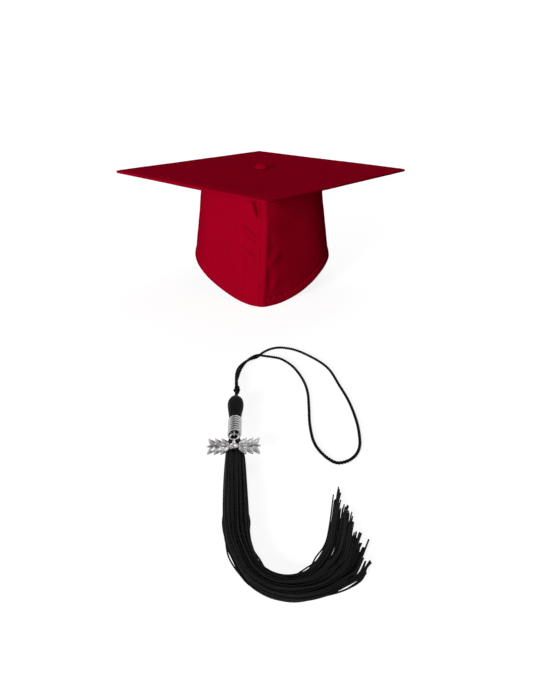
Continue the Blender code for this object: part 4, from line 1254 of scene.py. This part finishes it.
for out, z in ((0.2, -1.0), (0.8, -1.0), (1.0, -0.6), (1.0, 0.5), (0.86, 0.95), (0.74, 0.80), (0.66, 0.86),
               (0.58, 1.35), (0.36, 1.75), (0.10, 1.9)):
    boss_loops.append([sprig_place + Vector((boss_radius * out * math.cos(angle),
                                             boss_radius * out * math.sin(angle), half_thick * z))
                       for angle in around(BOSS_SIDES)])
forms.append(cast_shape("charm_boss", boss_loops))
leaf_loops = []
for i in range(13):
    share = (i + 0.15) / 12.3
    wide = LEAF_WIDTH / 2 * math.sin(math.pi * share ** 0.8) ** 0.85 + 0.00006
    arch = 0.25 * math.sin(math.pi * share)
    leaf_loops.append([Vector((LEAF_LENGTH * share, wide * across, half_thick * (up + arch * (up > -0.9))))
                       for across, up in ((-1, -0.9), (-1, 0.1), (-0.88, 0.32), (-0.16, 1.15), (0, 0.75),
                                          (0.16, 1.15), (0.88, 0.32), (1, 0.1), (1, -0.9))])
leaf = cast_shape("charm_leaf", leaf_loops)


def make_leaves():
    """Leaves set along the stem, each turned to its own lean."""
    tree, given = start_tree("laurel_leaves", {"Leaf": "Object", "Finish": "Material"})
    one = add_node(tree, "GeometryNodeObjectInfo", {"Object": given["Leaf"]})
    lean = add_node(tree, "GeometryNodeInputNamedAttribute", {"Name": "lean"}, data_type="FLOAT").outputs[0]
    turn = add_node(tree, "FunctionNodeAxisAngleToRotation", {"Axis": (0, 0, 1), "Angle": lean})
    spots = add_node(tree, "GeometryNodeMeshToPoints", {"Mesh": given["Geometry"]})
    leaves = add_node(tree, "GeometryNodeInstanceOnPoints",
                      {"Points": spots.outputs[0], "Instance": one.outputs["Geometry"],
                       "Rotation": turn.outputs[0]})
    return end_tree(tree, leaves.outputs[0], given["Finish"])


leaf_spots, leaf_leans = [], []
for side in (1, -1):
    for base in LEAF_BASES:
        for above in (1, -1):
            leaf_spots.append(sprig_place + Vector((side * (base - 0.0006), above * CHARM_STEM * 0.35, 0)))
            leaf_leans.append(above * LEAF_ANGLE if side > 0 else math.pi - above * LEAF_ANGLE)
    leaf_spots.append(sprig_place + Vector((side * (STEM_END - LEAF_LENGTH * 0.92), 0, 0)))
    leaf_leans.append(0.0 if side > 0 else math.pi)
leaf_mesh = lines_mesh("leaf_spots", [[spot] for spot in leaf_spots], lean=leaf_leans)
leaves = grow("charm_leaves", leaf_mesh, make_leaves(), {"Leaf": leaf, "Finish": silver_cast})
bpy.data.objects.remove(leaf)
joined = bmesh.new()
for form in [*forms, leaves]:
    joined.from_mesh(form.data)
charm_mesh = bpy.data.meshes.new("laurel_charm")
joined.to_mesh(charm_mesh)
joined.free()
charm_mesh.shade_smooth()
charm_mesh.set_sharp_from_angle(angle=math.radians(28))
charm_mesh.materials.append(silver_cast)
for form in [*forms, leaves]:
    bpy.data.objects.remove(form)
charm = add_object("laurel_charm", charm_mesh)
fit(charm, "charm_body", "silver_cast", "charm")


# Studio: a white sweep under soft light from the front left, with a weak fill in front and one overhead,
# and the camera where the photographer stood.
FLOOR_HALF = 30.0
floor_mesh = bpy.data.meshes.new("studio_floor")
floor_mesh.from_pydata([(-FLOOR_HALF, -FLOOR_HALF, 0), (FLOOR_HALF, -FLOOR_HALF, 0),
                        (FLOOR_HALF, FLOOR_HALF, 0), (-FLOOR_HALF, FLOOR_HALF, 0)], [], [(0, 1, 2, 3)])
floor = add_object("studio_floor", floor_mesh)


def seen_directly(tree):
    """1 for what the camera sees, mirrored or not, and 0 for the light that surfaces pass on."""
    path = add_node(tree, "ShaderNodeLightPath").outputs
    direct = reckon(tree, "MAXIMUM", path["Is Camera Ray"], path["Is Glossy Ray"])
    return reckon(tree, "MAXIMUM", direct, path["Is Transmission Ray"])


sweep = bpy.data.materials.new("white_sweep")
sweep.use_nodes = True
tree = sweep.node_tree
tree.nodes.clear()
direct = seen_directly(tree)
away = add_node(tree, "ShaderNodeVectorMath", {0: object_place(tree)}, operation="LENGTH").outputs["Value"]
glow = add_node(tree, "ShaderNodeMapRange", {"Value": away, "From Min": 0.45, "From Max": 1.3, "To Min": 0.86,
                                             "To Max": 1.0}, interpolation_type="SMOOTHSTEP").outputs[0]
pale = add_node(tree, "ShaderNodeBsdfDiffuse", {"Color": (0.40, 0.40, 0.40, 1)})
shaded = add_node(tree, "ShaderNodeBsdfDiffuse", {"Color": (0.42, 0.42, 0.42, 1)})
bright = add_node(tree, "ShaderNodeEmission", {"Color": (1, 1, 1, 1), "Strength": glow})
seen = add_node(tree, "ShaderNodeAddShader", {0: shaded.outputs[0], 1: bright.outputs[0]})
choice = add_node(tree, "ShaderNodeMixShader", {0: direct, 1: pale.outputs[0], 2: seen.outputs[0]})
add_node(tree, "ShaderNodeOutputMaterial", {"Surface": choice.outputs[0]})
floor_mesh.materials.append(sweep)

world = bpy.data.worlds.new("studio")
world.use_nodes = True
bpy.context.scene.world = world
tree = world.node_tree
tree.nodes.clear()
direct = seen_directly(tree)
facing = add_node(tree, "ShaderNodeTexCoord").outputs["Generated"]
height = add_node(tree, "ShaderNodeSeparateXYZ", {0: facing}).outputs["Z"]
ceiling = add_node(tree, "ShaderNodeMapRange", {"Value": height, "From Min": 0.45, "From Max": 0.95,
                                                "To Min": 1.0, "To Max": 0.2}).outputs[0]
ambient = add_node(tree, "ShaderNodeBackground", {"Color": (1, 1, 1, 1), "Strength": 0.08})
backdrop = add_node(tree, "ShaderNodeBackground", {"Color": (1, 1, 1, 1), "Strength": ceiling})
choice = add_node(tree, "ShaderNodeMixShader", {0: direct, 1: ambient.outputs[0], 2: backdrop.outputs[0]})
add_node(tree, "ShaderNodeOutputWorld", {"Surface": choice.outputs[0]})


def add_lamp(name, place, aim, size, power):
    """A square soft box that faces a point."""
    lamp = bpy.data.lights.new(name, "AREA")
    lamp.size = size
    lamp.energy = power
    box = add_object(name, lamp)
    box.location = place
    box.rotation_euler = (Vector(aim) - Vector(place)).to_track_quat("-Z", "Y").to_euler()
    box.visible_camera = False
    return box


CAP_FRONT = (0.0, -0.12, 0.07)
key_box = add_lamp("key_box", (-0.86, -1.34, 0.37), CAP_FRONT, 0.5, 19.2)
key_box.visible_glossy = False
fill_box = add_lamp("fill_box", (0.0, -1.65, 0.38), CAP_FRONT, 0.6, 2.0)
fill_box.visible_glossy = False
add_lamp("top_box", (0.35, 0.75, 1.20), (0.0, 0.0, 0.07), 0.9, 5.0)

IMAGE_HEIGHT = 690
FOCAL_PIXELS = 510
SENSOR = 36.0
CAMERA_DIP = 27.8
CAMERA_TURN = -1.85
camera_data = bpy.data.cameras.new("photo_camera")
camera = add_object("photo_camera", camera_data)
camera_data.sensor_width = SENSOR
camera_data.lens = SENSOR * FOCAL_PIXELS / IMAGE_HEIGHT
camera_data.clip_start = 0.01
camera_data.clip_end = 100.0
camera.location = (-0.0145, -0.6199, 0.228)
camera.rotation_euler = (math.radians(90 - CAMERA_DIP), 0.0, math.radians(CAMERA_TURN))
bpy.context.scene.camera = camera
bpy.context.scene.view_settings.view_transform = "Standard"
